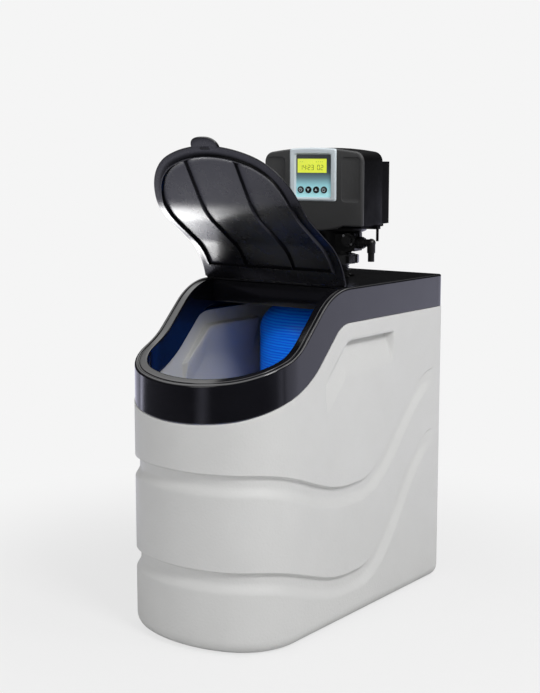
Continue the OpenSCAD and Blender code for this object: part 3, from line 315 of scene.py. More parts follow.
def front_half(nose, corner, side_end, side):
    """Right half of the plan from the middle of the nose to a place on the side."""
    pi = math.pi
    return np.r_[arc_part(0, NOSE_CY, NOSE_R, 1.5 * pi, 2 * pi - MEET, nose),
                 arc_part(CORNER_X, CORNER_Y, CORNER_R, 2 * pi - MEET, 2 * pi, corner),
                 side_part(CORNER_Y, side_end, side), [[HALF_W, side_end, 1, 0]]]


def back_half(side_start, side, wide):
    """Right half of the plan from a place on the side to the middle of the back."""
    x = np.linspace(HALF_W - BACK_R, 0, wide)
    return np.r_[side_part(side_start, SIDE_END, side),
                 arc_part(HALF_W - BACK_R, SIDE_END, BACK_R, 0, math.pi / 2, 6),
                 np.c_[x, np.full(wide, Y_BACK), np.zeros(wide), np.ones(wide)]]


def mirrored(half):
    """The left half of a plan: the right half in the other direction."""
    return half[::-1] * np.array([-1, 1, -1, 1])


def move_in(ring, inset):
    """Plan points of a ring moved in; the round back corners never turn inside out."""
    inset = np.broadcast_to(np.asarray(inset, float), (len(ring),))
    d = np.where(ring[:, 1] > SIDE_END - 0.01, np.minimum(inset, BACK_R - 0.5), inset)
    rest = inset - d
    side = np.where(np.abs(ring[:, 0]) > HALF_W - BACK_R - 0.01, np.sign(ring[:, 0]), 0)
    return np.c_[ring[:, 0] - ring[:, 2] * d - side * rest, ring[:, 1] - ring[:, 3] * d - rest]


print("corner centre at", round(CORNER_X, 1), round(CORNER_Y, 1))

# %% Top edge
BEND_Y, SHOULDER_R, FALL, FALL_L = -22.0, 117.0, math.radians(45), 61.7
HOLLOW_R, NOSE_TILT = 120.0, math.radians(20)
HOLLOW_Y = BEND_Y - (SHOULDER_R + HOLLOW_R) * math.sin(FALL) - FALL_L * math.cos(FALL)
HOLLOW_Z = DECK - SHOULDER_R * (1 - math.cos(FALL)) - FALL_L * math.sin(FALL) + HOLLOW_R * math.cos(FALL)


def edge_z(y, d):
    """Height of the top edge at y, moved down by d square to itself."""
    y = np.asarray(y, float)
    d = np.broadcast_to(np.asarray(d, float), y.shape)
    r, h = SHOULDER_R - d, HOLLOW_R + d
    y1, y2 = BEND_Y - r * math.sin(FALL), HOLLOW_Y + h * math.sin(FALL)
    y3 = HOLLOW_Y + h * math.sin(NOSE_TILT)
    shoulder = DECK - SHOULDER_R + np.sqrt(np.maximum(r ** 2 - (y - BEND_Y) ** 2, 0))
    fall = DECK - SHOULDER_R + r * math.cos(FALL) + (y - y1) * math.tan(FALL)
    hollow = HOLLOW_Z - np.sqrt(np.maximum(h ** 2 - (y - HOLLOW_Y) ** 2, 0))
    nose = HOLLOW_Z - h * math.cos(NOSE_TILT) + (y - y3) * math.tan(NOSE_TILT)
    return np.select([y >= BEND_Y, y >= y1, y >= y2, y >= y3], [DECK - d, shoulder, fall, hollow], nose)


def along(y, start, end):
    """Smooth step from 0 at the start of a stretch to 1 at its end."""
    return (1 - np.cos(math.pi * np.clip((y - start) / (end - start), 0, 1))) / 2


heights = [round(float(edge_z(y, 0)), 1) for y in (Y_FRONT, HINGE_Y)]
print("edge at the nose and at the hinge", heights)

# %% [markdown]
# ## Making meshes
# A skin is a grid of rings. `add_rings` joins rings of equal length and can close their ends, `finish_mesh`
# turns the lists into an object whose place is in its mesh, merges doubles, turns faces outward and marks only
# sharp edges, so that rounds shade smoothly and flats stay flat.


# %% Mesh helpers
def empty_shape():
    return {"verts": [], "faces": [], "slots": []}


def add_faces(shape, points, faces, slot):
    base = len(shape["verts"])
    shape["verts"] += [tuple(float(c) for c in p) for p in points]
    shape["faces"] += [tuple(base + k for k in face) for face in faces]
    shape["slots"] += [slot] * len(faces)


def add_rings(shape, rings, around=True, closed=False, ends=False, slot=0):
    """Faces between rings; around closes each ring, closed joins last to first, ends fills open ends."""
    m, n = len(rings), len(rings[0])
    faces = []
    for k in range(m if closed else m - 1):
        a, b = k * n, (k + 1) % m * n
        faces += [(a + j, a + (j + 1) % n, b + (j + 1) % n, b + j) for j in range(n if around else n - 1)]
    if ends and around:
        faces += [tuple(range(n)), tuple(range((m - 1) * n, m * n))]
    if ends and not around:
        faces += [tuple(k * n for k in range(m)), tuple(k * n + n - 1 for k in range(m))]
    add_faces(shape, [p for ring in rings for p in ring], faces, slot)


def fill_loops(shape, loops, normal):
    """Flat face with holes: the first loop is the outline, the others are holes."""
    bm = bmesh.new()
    edges = []
    for points in loops:
        made = [bm.verts.new(p) for p in points]
        edges += [bm.edges.new((made[k], made[(k + 1) % len(made)])) for k in range(len(made))]
    bmesh.ops.triangle_fill(bm, use_beauty=True, use_dissolve=False, edges=edges, normal=normal)
    bm.verts.index_update()
    add_faces(shape, [v.co for v in bm.verts], [[v.index for v in f.verts] for f in bm.faces], 0)
    bm.free()


def arc(cx, cy, r, a0, a1, n):
    """Points of an arc between two angles in degrees; a negative radius turns it by half a turn."""
    turns = np.linspace(math.radians(a0), math.radians(a1), n)
    return [(cx + r * math.cos(a), cy + r * math.sin(a)) for a in turns]


def circle(r, n):
    return arc(0, 0, r, 0, 360, n + 1)[:-1]


# %% From lists to objects
def clean_mesh(mesh, angle):
    """Merges doubles, fills open ends, turns faces outward and marks sharp edges."""
    bm = bmesh.new()
    bm.from_mesh(mesh)
    bmesh.ops.remove_doubles(bm, verts=bm.verts, dist=2e-6)
    bmesh.ops.dissolve_degenerate(bm, edges=bm.edges, dist=1e-7)
    bmesh.ops.holes_fill(bm, edges=[e for e in bm.edges if e.is_boundary], sides=0)
    bmesh.ops.recalc_face_normals(bm, faces=bm.faces)
    open_edges = sum(not e.is_manifold for e in bm.edges)
    bm.to_mesh(mesh)
    bm.free()
    mesh.polygons.foreach_set("use_smooth", [True] * len(mesh.polygons))
    mesh.set_sharp_from_angle(angle=math.radians(angle))
    return open_edges


def finish_mesh(name, shape, finishes, angle, place=None):
    """Object from a shape in millimetres; place is a matrix for shapes made in another frame."""
    mesh = bpy.data.meshes.new(name)
    points = [place @ Vector(v) if place else Vector(v) for v in shape["verts"]]
    mesh.from_pydata([tuple(p * MM) for p in points], [], shape["faces"])
    for label in finishes:
        mesh.materials.append(finish[label])
    mesh.polygons.foreach_set("material_index", shape["slots"])
    print(name, "open edges", clean_mesh(mesh, angle))
    return put(name, mesh)


def seat(piece, body, slot, *stands_for):
    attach(piece, body)
    if stands_for:
        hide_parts(*stands_for)
    print(piece.name, len(piece.data.polygons), "faces on", body)


# %% [markdown]
# ## Cabinet
# The cabinet is one rotational moulding: a rounded box with two grooves that swoop up to the back and a handle
# recess on each side. Displacing a plain box would blur the creases, so the rows of the grid follow the
# features instead: rows run along the foot radius, both grooves and the ledge, and only their depth changes
# along the side.

# %% Grooves
# A groove has heights at the nose, at its lowest place and at the back.
LOWER_GROOVE, UPPER_GROOVE, GROOVE_D = (138, 84, 296), (300, 243, 412), 8.0
GROOVE_STEPS = np.r_[np.arange(-38, -11, 2), -8, -4, -0.5, np.arange(0.2, 5.4, 0.7), 6, 7]


def groove_height(y, nose_z, dip_z, rise_z):
    return dip_z + (nose_z - dip_z) * (1 - along(y, -265, -20)) + (rise_z - dip_z) * along(y, 10, 266)


def groove_rows(y, heights, dy=2):
    """Rows across one groove: a soft shoulder below, a hollow floor and a crisp crease above."""
    z = groove_height(y, *heights)
    slope = (groove_height(y + dy, *heights) - groove_height(y - dy, *heights)) / (2 * dy)
    tilt = np.sqrt(1 + slope ** 2)
    depth = GROOVE_D * (1 - along(y, 215, 270))
    share = np.where(GROOVE_STEPS < 0, along(GROOVE_STEPS, -34, -14), 1 - along(GROOVE_STEPS, 0, 5))
    return [(depth * f, z + s * tilt) for s, f in zip(GROOVE_STEPS, share)]


def between(low, high, count):
    return [tuple(a + (b - a) * k / (count + 1) for a, b in zip(low, high)) for k in range(1, count + 1)]


print("rows across a groove", len(GROOVE_STEPS))

# %% Handle recess and all rows from the floor up
FOOT_R, FOOT_ROWS, OVER_ROWS, BAND_FOOT = 25.0, 9, 4, 60.4
RECESS_D, RECESS_H, LEDGE_D, LIP_H, SOFT = 17.0, 60, 90, 4, 0.15
LIP = ((0.99, 1.5), (0.95, 2.3), (0.84, 2.8), (0.5, 3.2), (0.16, 3.6), (0.05, 4.1), (0, 5.0))
RIM = ((0, -1.6), (0.12, -0.8), (0.4, -0.25), (0.9, 0))


def recess_rows(y, below):
    """Rows of the recess: they run deeper up to the ledge, then come out over a rounded lip."""
    ledge = edge_z(y, LEDGE_D + 4 * along(y, -10, -50))
    low = np.maximum(ledge - RECESS_H, below + 8)
    part = RECESS_D * (0.5 + 0.5 * along(y, -95, 15)) * along(y, -96, -89) * (1 - along(y, 112, 120))
    rows = []
    for t in np.linspace(0, 1, 15):
        share = t * t / (2 * SOFT) if t < SOFT else t - SOFT / 2
        rows.append((part * share / (1 - SOFT / 2), low + (ledge - LIP_H - low) * t))
    return rows + [(part * share, ledge - LIP_H + up) for share, up in LIP]


def cabinet_rows(y):
    """All rows as inset and height, and the number of the first row of the lip."""
    zero = np.zeros_like(y)
    bends = np.linspace(0, math.pi / 2, FOOT_ROWS)
    foot = [(zero + FOOT_R * (1 - math.sin(a)), zero + FOOT_R * (1 - math.cos(a))) for a in bends]
    lower, upper = groove_rows(y, LOWER_GROOVE), groove_rows(y, UPPER_GROOVE)
    recess = recess_rows(y, upper[-1][1])
    rim = [(zero + inset, edge_z(y, BAND_FOOT) + up) for inset, up in RIM]
    rows = foot + between(foot[-1], lower[0], 4) + lower + between(lower[-1], upper[0], 8) + upper
    rows += between(upper[-1], recess[0], 1) + recess + between(recess[-1], rim[0], OVER_ROWS) + rim
    return rows, len(rows) - len(RIM) - OVER_ROWS - len(LIP)


# %% Cabinet skin
# Stations along the side are close together at both ends of the recess.
stations = [np.arange(*run) for run in ((-120, -100, 4), (-98, -86, 1), (-85, 110, 3.5), (110.5, 124, 1))]
half = np.r_[front_half(17, 26, -120, 8)[:-1], side_at(np.concatenate(stations)),
             back_half(126, 38, 8)[:-1]]
ring = np.r_[half, [[0, Y_BACK, 0, 1]], mirrored(half)[:-1]]
rows, lip_row = cabinet_rows(ring[:, 1])
outer = [np.c_[move_in(ring, d), z] for d, z in rows]
inner = []
for k in range(len(rows) - 1, -1, -1):
    d, z = rows[k]
    if k < FOOT_ROWS:
        share = (FOOT_R - WALL) / FOOT_R
        inner.append(np.c_[move_in(ring, WALL + d * share), WALL + z * share])
    elif k % 2 == 0 or k >= lip_row - 2:
        raised = WALL if lip_row - 1 <= k < lip_row + len(LIP) else 0
        inset = WALL if k >= len(rows) - len(RIM) else d + WALL
        inner.append(np.c_[move_in(ring, inset), z + raised])
shape = empty_shape()
add_rings(shape, outer + inner)
for height, edge in ((0, outer[0]), (WALL, inner[-1])):
    centre = np.tile((0, 0, height), (len(ring), 1))
    add_rings(shape, [edge, edge * 0.5 + centre * 0.5, centre])
cabinet = finish_mesh("cabinet_skin", shape, ["cabinet_grey"], 50)
seat(cabinet, "cabinet", "cabinet", "cabinet_shell")

# %% [markdown]
# ## Cover
# The cover is a gloss black moulding that drops over the cabinet. Its section is the same all the way round the
# mouth: side band, rounded bead, a shadow groove, the flat seat of the lid, and a skirt that hangs into the
# cabinet. A section given as inset and depth is carried along the plan; its height comes from the S-shaped
# edge, so nothing is guessed.


# %% Sections
def on_edge(flat, depth):
    """Plan points set at a depth under the top edge."""
    return np.c_[flat, edge_z(flat[:, 1], depth)]


def carry(ring, section):
    return [on_edge(move_in(ring, i), d) for i, d in section]


IN, SHEET, SEAT_W, BAND_H, SKIRT_H = 1.2, 3.0, 22.0, 60.0, 48.0
BAND_LIP, BEAD_R, ROLL_R, MOUTH = 8.4, 3.2, 2.2, IN + SEAT_W
band = [(BAND_LIP, BAND_H), (IN + 1.0, BAND_H), (IN + 0.3, BAND_H - 0.3), (IN, BAND_H - 1.0)]
band += [(IN, d) for d in (BAND_H - 1.8, 50, 40, 30, 20, 10, 3.9)]
band += arc(IN + BEAD_R, BEAD_R, -BEAD_R, 0, 90, 8)
groove = [(IN + 4.4, 0.05), (IN + 5.4, 0.35), (IN + 5.9, 0.9), (IN + 6.0, 1.6), (IN + 8.2, 1.6)]
groove += [(IN + 8.35, 0.6), (IN + 8.8, 0.1), (IN + 9.5, 0), (IN + 13, 0), (IN + 17, 0)]
rolled = arc(MOUTH - ROLL_R, ROLL_R, -ROLL_R, 90, 180, 7)
skirt = [(MOUTH, d) for d in (10, 20, 30, 40, SKIRT_H - 0.8)] + [(MOUTH - 0.8, SKIRT_H)]
skirt += [(MOUTH - SHEET + 0.8, SKIRT_H), (MOUTH - SHEET, SKIRT_H - 0.8), (MOUTH - SHEET, SHEET)]
inside = [(IN + SHEET, SHEET), (IN + SHEET, BAND_H - 4), (BAND_LIP, BAND_H - 4)]
mouth_section = band + groove + rolled + skirt + inside
deck_section = band + [(IN + 9.5, 0), (MOUTH, 0), (MOUTH, SHEET)] + inside
print("section points", len(mouth_section), len(deck_section))

# %% Cover skin
# A hair's breadth between mouth and deck keeps their end faces from falling together.
SEAM = 0.02
half = front_half(22, 34, HINGE_Y, 30)
mouth_ring = np.r_[mirrored(half)[:-1], half]
half = back_half(HINGE_Y + SEAM, 40, 7)
deck_ring = np.r_[half, mirrored(half)[1:]]
shape = empty_shape()
for ring, section in ((mouth_ring, mouth_section), (deck_ring, deck_section)):
    add_rings(shape, carry(ring, section), around=False, closed=True, ends=True)
cover_skin = finish_mesh("cover_skin", shape, ["cover_black"], 40)
seat(cover_skin, "cabinet", "cover", "top_cover")

# %% Deck plate with its hole
HOLE_R, HOLE_ROUND = 46.0, 1.8
deck_x, deck_back = HALF_W - MOUTH, Y_BACK - MOUTH


def hole_ring(r, z):
    return [(x, TANK_Y + y, z) for x, y in circle(r, 96)]


shape = empty_shape()
corners = ((-deck_x, HINGE_Y), (deck_x, HINGE_Y), (deck_x, deck_back), (-deck_x, deck_back))
deck_top, deck_low = [[(x, y, z) for x, y in corners] for z in (DECK, DECK - SHEET)]
lip = []
for t in np.linspace(0, math.pi / 2, 6):
    lip.append(hole_ring(HOLE_R + HOLE_ROUND * (1 - math.sin(t)), DECK - HOLE_ROUND * (1 - math.cos(t))))
lip.append(hole_ring(HOLE_R, DECK - SHEET))
fill_loops(shape, [deck_top, lip[0]], (0, 0, 1))
fill_loops(shape, [deck_low, lip[-1]], (0, 0, -1))
add_rings(shape, lip)
add_rings(shape, [deck_top, deck_low])
print("deck hole radius", HOLE_R)


# %% Cross wall and hinge lugs
def bar_along_x(shape, y0, z0, profile, stations):
    """Closed bar: a profile round a place in y and z, at each station of x and scale."""
    add_rings(shape, [[(x, y * k + y0, z * k + z0) for y, z in profile] for x, k in stations], ends=True)


LUG_X, LUG_W, LUG_R = 78, 5, 4
wall_path = [(1.5, 0), (0.4, -0.3), (0, -1.4), (0, -41), (0.8, -42), (2.2, -42), (3, -41), (3, -1)]
bar_along_x(shape, HINGE_Y, DECK, wall_path, [(x, 1) for x in np.linspace(-deck_x - 2, deck_x + 2, 9)])
lug_foot = DECK - HINGE_Z - 0.4
lug = [(LUG_R, lug_foot)] + arc(0, 0, LUG_R, 0, 180, 13) + [(-LUG_R, lug_foot)]
for x in (-LUG_X, LUG_X):
    ends = [(x - LUG_W, 0.9), (x - LUG_W + 0.5, 1), (x + LUG_W - 0.5, 1), (x + LUG_W, 0.9)]
    bar_along_x(shape, HINGE_Y, HINGE_Z, lug, ends)
deck_skin = finish_mesh("deck_skin", shape, ["cover_black"], 40)
seat(deck_skin, "cabinet", "cover")

# %% [markdown]
# ## Lid
# The lid is a thin S-curved shell with the plan of the mouth, seen from below because it stands open. It is
# made closed, where its edge and bead can share the plan of the cover, and turned about the hinge at the end.
# Rings of equal inset give the rolled edge and the bead; the field inside runs towards the middle line. The low
# lamp lights nothing but this shell: it is the pale card that puts a highlight in the hollow of the lid.

# %% Lid shell
LIFT, OPEN, LID_IN, STRIP, EDGE_R = 0.4, math.radians(79.4), IN + 5.0, 22.0, 1.5
TOP, UNDER, FIELD_IN = -LIFT - SHEET, -LIFT, MOUTH + 10
MID = (TOP + UNDER) / 2
BEAD = ((0.6, 0.3), (1.0, 1.4), (1.2, 4.6), (1.6, 5.2), (2.9, 5.2), (3.3, 4.6), (3.5, 1.4), (3.9, 0.3),
        (4.6, 0))
strip_y = HINGE_Y - STRIP


def lid_ring(inset, depth, share=0.0):
    """One ring of the lid; share moves it towards the middle line, and depth may change along it."""
    flat = move_in(mouth_ring, inset)
    middle = np.c_[np.zeros(len(flat)), np.clip(flat[:, 1], Y_FRONT + 110, HINGE_Y)]
    return on_edge(flat + (middle - flat) * share, depth)


bead_on = 1 - along(mouth_ring[:, 1], strip_y - 3, strip_y)
field = np.linspace(0.08, 1, 13)
top_rings = [lid_ring(i, TOP) for i in (LID_IN + EDGE_R, LID_IN + 8, LID_IN + 16, FIELD_IN)]
top_rings += [lid_ring(FIELD_IN, TOP, share) for share in field]
edge_rings = []
for a in np.linspace(-1.4, 1.4, 8):
    edge_rings.append(lid_ring(LID_IN + EDGE_R - EDGE_R * math.cos(a), MID + EDGE_R * math.sin(a)))
under_rings = [lid_ring(i, UNDER) for i in (LID_IN + EDGE_R, LID_IN + 8, MOUTH)]
under_rings += [lid_ring(MOUTH + i, UNDER + bead_on * d) for i, d in BEAD] + [lid_ring(FIELD_IN, UNDER)]
under_rings += [lid_ring(FIELD_IN, UNDER, share) for share in field]
shape = empty_shape()
lid_rings = top_rings[::-1] + edge_rings + under_rings
add_rings(shape, lid_rings, around=False, ends=True)
print("lid rings", len(lid_rings))

# %% Ribs and the bead across the hinge side
RIB_X, CROSS_Y = 52, strip_y - 1.25
RIB = ((-2.1, -0.6), (-1.3, 0.7), (-1.0, 3.9), (-0.6, 4.3), (0.6, 4.3), (1.0, 3.9), (1.3, 0.7), (2.1, -0.6))
rib_y = np.linspace(strip_y - 1, Y_FRONT + 33, 70)
for x in (-RIB_X, RIB_X):
    add_rings(shape, [[(x + dx, y, float(edge_z(y, UNDER + d))) for dx, d in RIB] for y in rib_y], ends=True)
across = np.linspace(MOUTH + 2 - HALF_W, HALF_W - MOUTH - 2, 15)
cross = [(CROSS_Y + dy, float(edge_z(CROSS_Y + dy, UNDER + d * 1.2))) for dy, d in RIB]
add_rings(shape, [[(x, y, z) for y, z in cross] for x in across], ends=True)
print("ribs", len(rib_y), "stations long")

# %% Finger tab
TAB_R, TAB_T, TAB_SHORT, TAB_EXPONENT = 29.0, 6.0, 5, 0.75
tab_c = Y_FRONT + TAB_R - 14
tab_turns = np.linspace(0, 2 * math.pi, 72, endpoint=False)


def tab_ring(r, depth):
    """Ring of the tab, a blunt oval that ends on the lid."""
    swing = (np.cos(tab_turns), np.sin(tab_turns))
    across, back = [np.sign(t) * np.abs(t) ** TAB_EXPONENT for t in swing]
    y = np.minimum(tab_c + (r - TAB_SHORT) * back, Y_FRONT + 34)
    return on_edge(np.c_[r * across, y], depth)


steps = [(5.5, 0.02), (TAB_R - 9, 0.02), (TAB_R - 3, 0.04), (TAB_R - 1, 0.35), (TAB_R - 0.2, 1.3)]
steps += [(TAB_R, 2.4), (TAB_R, TAB_T - 2), (TAB_R - 0.6, TAB_T - 0.8), (TAB_R - 2, TAB_T - 0.1), (5.5, TAB_T)]
add_rings(shape, [tab_ring(r, UNDER - up) for r, up in steps], ends=True)
print("tab reaches", round(tab_c - TAB_R + TAB_SHORT, 1))

# %% Hinge barrels, and the lid turned open
BARREL_R, GAP_IN, GAP_OUT, BARREL_END = 4, 72.6, 83.4, HALF_W - LID_IN - 3
web = [(-6, -1.2), (-3.6, 2.0), (-1, 3.4), (-1, -3.4), (-3, -4), (-6, -4)]
for x0, x1 in ((-BARREL_END, -GAP_OUT), (-GAP_IN, GAP_IN), (GAP_OUT, BARREL_END)):
    ends = [(x0, 0.86), (x0 + 0.6, 1), (x1 - 0.6, 1), (x1, 0.86)]
    bar_along_x(shape, HINGE_Y, HINGE_Z, circle(BARREL_R, 28), ends)
    bar_along_x(shape, HINGE_Y, HINGE_Z, web, [(x0, 1), (x1, 1)])
pivot = Matrix.Translation((0, HINGE_Y, HINGE_Z))
opened = pivot @ Matrix.Rotation(-OPEN, 4, "X") @ pivot.inverted()
lid_skin = finish_mesh("lid_skin", shape, ["lid_black"], 40, opened)
seat(lid_skin, "lid", "cover", "lid")
light_only(lamps["lamp_low"], lid_skin)

# %% Slot in the tab
SLOT_X, SLOT_R, SLOT_Y = 8, 2, Y_FRONT + 11


def slot_ring(grow, depth):
    """Round-ended slot in the plan of the closed lid."""
    points = []
    for side, start in ((1, -90), (-1, 90)):
        points += arc(side * SLOT_X, SLOT_Y, SLOT_R + grow, start, start + 180, 9)
    return on_edge(np.array(points), depth)


shape = empty_shape()
lip = [slot_ring(grow, UNDER + d) for grow, d in ((1.2, -0.3), (0.9, 0.24), (0.2, 0.3), (0, 0.05))]
add_rings(shape, lip)
for slot, loop in enumerate((lip[0], lip[-1])):
    add_faces(shape, loop, [range(len(loop))], slot)
tab_slot = finish_mesh("tab_slot", shape, ["lid_black", "seal_rubber"], 30, opened)
seat(tab_slot, "lid", "cover")

# %% [markdown]
# ## Wound tank
# The tank is glass fibre wound round a liner and painted blue, so its shape follows a rule: a barrel with two
# domes, and a fine ridge for each turn of the winding. Geometry Nodes bend one flat grid into that barrel, with
# the sizes and the winding as named inputs. The paint then only needs a colour that follows the same turns. One
# lamp shines through the mouth on this piece alone, because so deep in the cabinet the blue would drown.


# %% Helpers for geometry trees
def geometry_tree(name, inputs):
    """New tree with a geometry socket each way and named float inputs; returns tree, inputs and identifiers."""
    tree = bpy.data.node_groups.new(name, "GeometryNodeTree")
    tree.interface.new_socket("Geometry", in_out="INPUT", socket_type="NodeSocketGeometry")
    ids = {}
    for label, value in inputs.items():
        socket = tree.interface.new_socket(label, in_out="INPUT", socket_type="NodeSocketFloat")
        socket.default_value = value
        ids[label] = socket.identifier
    tree.interface.new_socket("Geometry", in_out="OUTPUT", socket_type="NodeSocketGeometry")
    return tree, tree.nodes.new("NodeGroupInput").outputs, ids


def close_tree(tree, geometry, material):
    """Realize Instances and Set Material at the end of a tree."""
    real = add(tree, "GeometryNodeRealizeInstances", Geometry=geometry)
    paint = add(tree, "GeometryNodeSetMaterial", Geometry=real.outputs[0], Material=material)
    add(tree, "NodeGroupOutput", Geometry=paint.outputs[0])


def run_tree(name, start, tree, ids, values):
    """Runs the tree on a start mesh with its inputs set by identifier; returns a plain object."""
    carrier = put(name + "_start", start)
    modifier = carrier.modifiers.new("made", "NODES")
    modifier.node_group = tree
    for label, value in values.items():
        modifier[ids[label]] = value
    made = carrier.evaluated_get(bpy.context.evaluated_depsgraph_get())
    mesh = bpy.data.meshes.new_from_object(made)
    mesh.name = name
    carrier.modifiers.remove(modifier)
    bpy.data.objects.remove(carrier)
    return put(name, mesh)


# %% Tank paint
tank_blue, tree, at = new_material("tank_blue")
winding = add(tree, "ShaderNodeTexWave", bands_direction="Z", Vector=at, Scale=62.0, Distortion=1.4, Detail=3.0,
              **{"Detail Scale": 0.7})
stretch = add(tree, "ShaderNodeMapping", Vector=at, Scale=(0.25, 0.25, 3.0))
fibre = add(tree, "ShaderNodeTexNoise", Vector=stretch.outputs[0], Scale=140.0, Detail=4.0).outputs["Fac"]
lines = maths(tree, "MULTIPLY_ADD", winding.outputs["Fac"], 0.6, maths(tree, "MULTIPLY", fibre, 0.4))
bump = add(tree, "ShaderNodeBump", Strength=0.3, Distance=0.0008, Height=fibre)
tone = colour_stops(tree, lines, ((0.2, (0.001, 0.10, 0.86)), (0.85, (0.004, 0.25, 1.0))))
sockets = {"Base Color": tone, "Specular IOR Level": 0.15, "Normal": bump.outputs["Normal"],
           "Roughness": ramp(tree, fibre, 0.2, 0.8, 0.34, 0.5)}
end_in_skin(tree, sockets)
print("tank paint ready")

# %% Tank tree: turn and height of each grid point
# The rows of the grid, from 0 to 1, are shared out to foot, barrel, dome and neck.
FOOT_TO, BARREL_TO, DOME_TO = 0.12, 0.80, 0.96
tank_sizes = {"Radius": 0.131, "Foot": 0.080, "Foot dome": 0.060, "Shoulder": 0.490, "Dome": 0.072,
              "Dome angle": 1.2597, "Neck": 0.0254, "Place": TANK_Y * MM, "Turn pitch": 0.0085,
              "Turn depth": 0.00045}
tree, size, ids = geometry_tree("wound_tank", tank_sizes)
calc = partial(maths, tree)
grid_sizes = {"Size X": 1.0, "Size Y": 1.0, "Vertices X": 145, "Vertices Y": 530}
grid = add(tree, "GeometryNodeMeshGrid", **grid_sizes)
flat = add(tree, "ShaderNodeSeparateXYZ", Vector=add(tree, "GeometryNodeInputPosition").outputs[0]).outputs
turn = calc("MULTIPLY", flat["X"], 2 * math.pi)
rise = calc("ADD", flat["Y"], 0.5)


def stretch_of(low, high):
    """Share of the way, 0 to 1, that a grid point lies between two rows."""
    share = calc("DIVIDE", calc("SUBTRACT", rise, low), high - low)
    return calc("MINIMUM", calc("MAXIMUM", share, 0.0), 1.0)


foot_turn = calc("MULTIPLY", calc("SUBTRACT", 1.0, stretch_of(0.0, FOOT_TO)), math.pi / 2)
dome_turn = calc("MULTIPLY", stretch_of(BARREL_TO, DOME_TO), size["Dome angle"])
span = calc("SUBTRACT", size["Shoulder"], size["Foot"])
height = calc("MULTIPLY_ADD", span, stretch_of(FOOT_TO, BARREL_TO), size["Foot"])
height = calc("MULTIPLY_ADD", size["Dome"], calc("SINE", dome_turn), height)
height = calc("MULTIPLY_ADD", size["Neck"], stretch_of(DOME_TO, 1.0), height)
height = calc("SUBTRACT", height, calc("MULTIPLY", size["Foot dome"], calc("SINE", foot_turn)))
print("tank tree has", len(tree.nodes), "nodes so far")

# %% Winding and tank skin
rounds = calc("DIVIDE", calc("MULTIPLY", height, math.pi), size["Turn pitch"])
phase = calc("MULTIPLY_ADD", turn, 0.5, rounds)
ridge = calc("MULTIPLY", calc("ABSOLUTE", calc("SINE", phase)), size["Turn depth"])
narrowing = calc("MULTIPLY", calc("COSINE", dome_turn), calc("COSINE", foot_turn))
reach = calc("SUBTRACT", calc("MULTIPLY_ADD", size["Radius"], narrowing, ridge), size["Turn depth"])
reach = calc("MAXIMUM", reach, 0.0)
spot = add(tree, "ShaderNodeCombineXYZ", X=calc("MULTIPLY", reach, calc("COSINE", turn)),
           Y=calc("MULTIPLY_ADD", reach, calc("SINE", turn), size["Place"]), Z=height)
bent = add(tree, "GeometryNodeSetPosition", Geometry=grid.outputs["Mesh"], Position=spot.outputs[0])
close_tree(tree, bent.outputs[0], tank_blue)
tank_skin = run_tree("tank_skin", bpy.data.meshes.new("tank_start"), tree, ids, tank_sizes)
print("tank open edges", clean_mesh(tank_skin.data, 60))
seat(tank_skin, "cabinet", "tank", "resin_tank")
light_only(lamps["lamp_mouth"], tank_skin)

# %% [markdown]
# ## Control head
# The head is a box with a crowned top and a matt grain, turned a little on the tank. Its front carries a light
# frame with the display and four round keys. Pieces of the head are made in the valve's own frame and turned
# with one matrix, so that each one lies on the CAD solid that it stands for.

# %% Outline of the head
VALVE_TURN = math.radians(9)
VALVE = Matrix.Translation((0, TANK_Y, DECK)) @ Matrix.Rotation(VALVE_TURN, 4, "Z")
HEAD_W, FRONT, REAR, HEAD_TOP, HEAD_LOW = 197.0, -75.0, 13.0, 235.0, 96.0
HEAD_CORNER, HEAD_CROWN, BULGE_X = 18.0, 7.0, 58
TILT = math.radians(80)


def crown_z(x, inset):
    xe = HEAD_W / 2 - inset - (HEAD_CORNER - inset) * (1 - math.cos(TILT))
    return HEAD_TOP - inset - HEAD_CROWN * (x / xe) ** 2


def head_ring(y, inset, drop):
    """Head seen from the front: crowned top, round upper corners, and a lower edge that bulges by drop."""
    w, r, low = HEAD_W / 2 - inset, HEAD_CORNER - inset, HEAD_LOW + inset
    x1, zc = w - r, HEAD_TOP - inset - HEAD_CROWN - r * math.sin(TILT)
    right = [(x1 + r * math.cos(a), zc + r * math.sin(a)) for a in np.linspace(0, TILT, 11)]
    xe = right[-1][0]
    crown = [(x, crown_z(x, inset)) for x in np.linspace(xe, -xe, 25)[1:-1]]
    corner = [(-w, low + 3), (-w + 0.9, low + 0.9), (-w + 3, low)]
    bulge = []
    for x in np.linspace(-BULGE_X, BULGE_X, 33):
        bulge.append((x, low - drop * max(math.cos(math.pi * x / (2 * BULGE_X)), 0) ** 0.7))
    left, last = [[(-x, z) for x, z in part[::-1]] for part in (right, corner)]
    return [(x, y, z) for x, z in right + crown + left + corner + bulge + last]


print("outline points", len(head_ring(0, 0, 0)))


# %% Front housing
def rect_loop(cx, cz, w, h, r, y, over=0):
    """Rounded rectangle seen from the front; over adds points along its top side."""
    points = []
    for sx, sz, a0 in ((1, 1, 0), (-1, 1, 90), (-1, -1, 180), (1, -1, 270)):
        if a0 == 90:
            points += [(cx + x, y, cz + h / 2) for x in np.linspace(w / 2 - r, r - w / 2, over + 2)[1:-1]]
        x0, z0 = cx + sx * (w / 2 - r), cz + sz * (h / 2 - r)
        points += [(x, y, z) for x, z in arc(x0, z0, r, a0, a0 + 90, 6)]
    return points


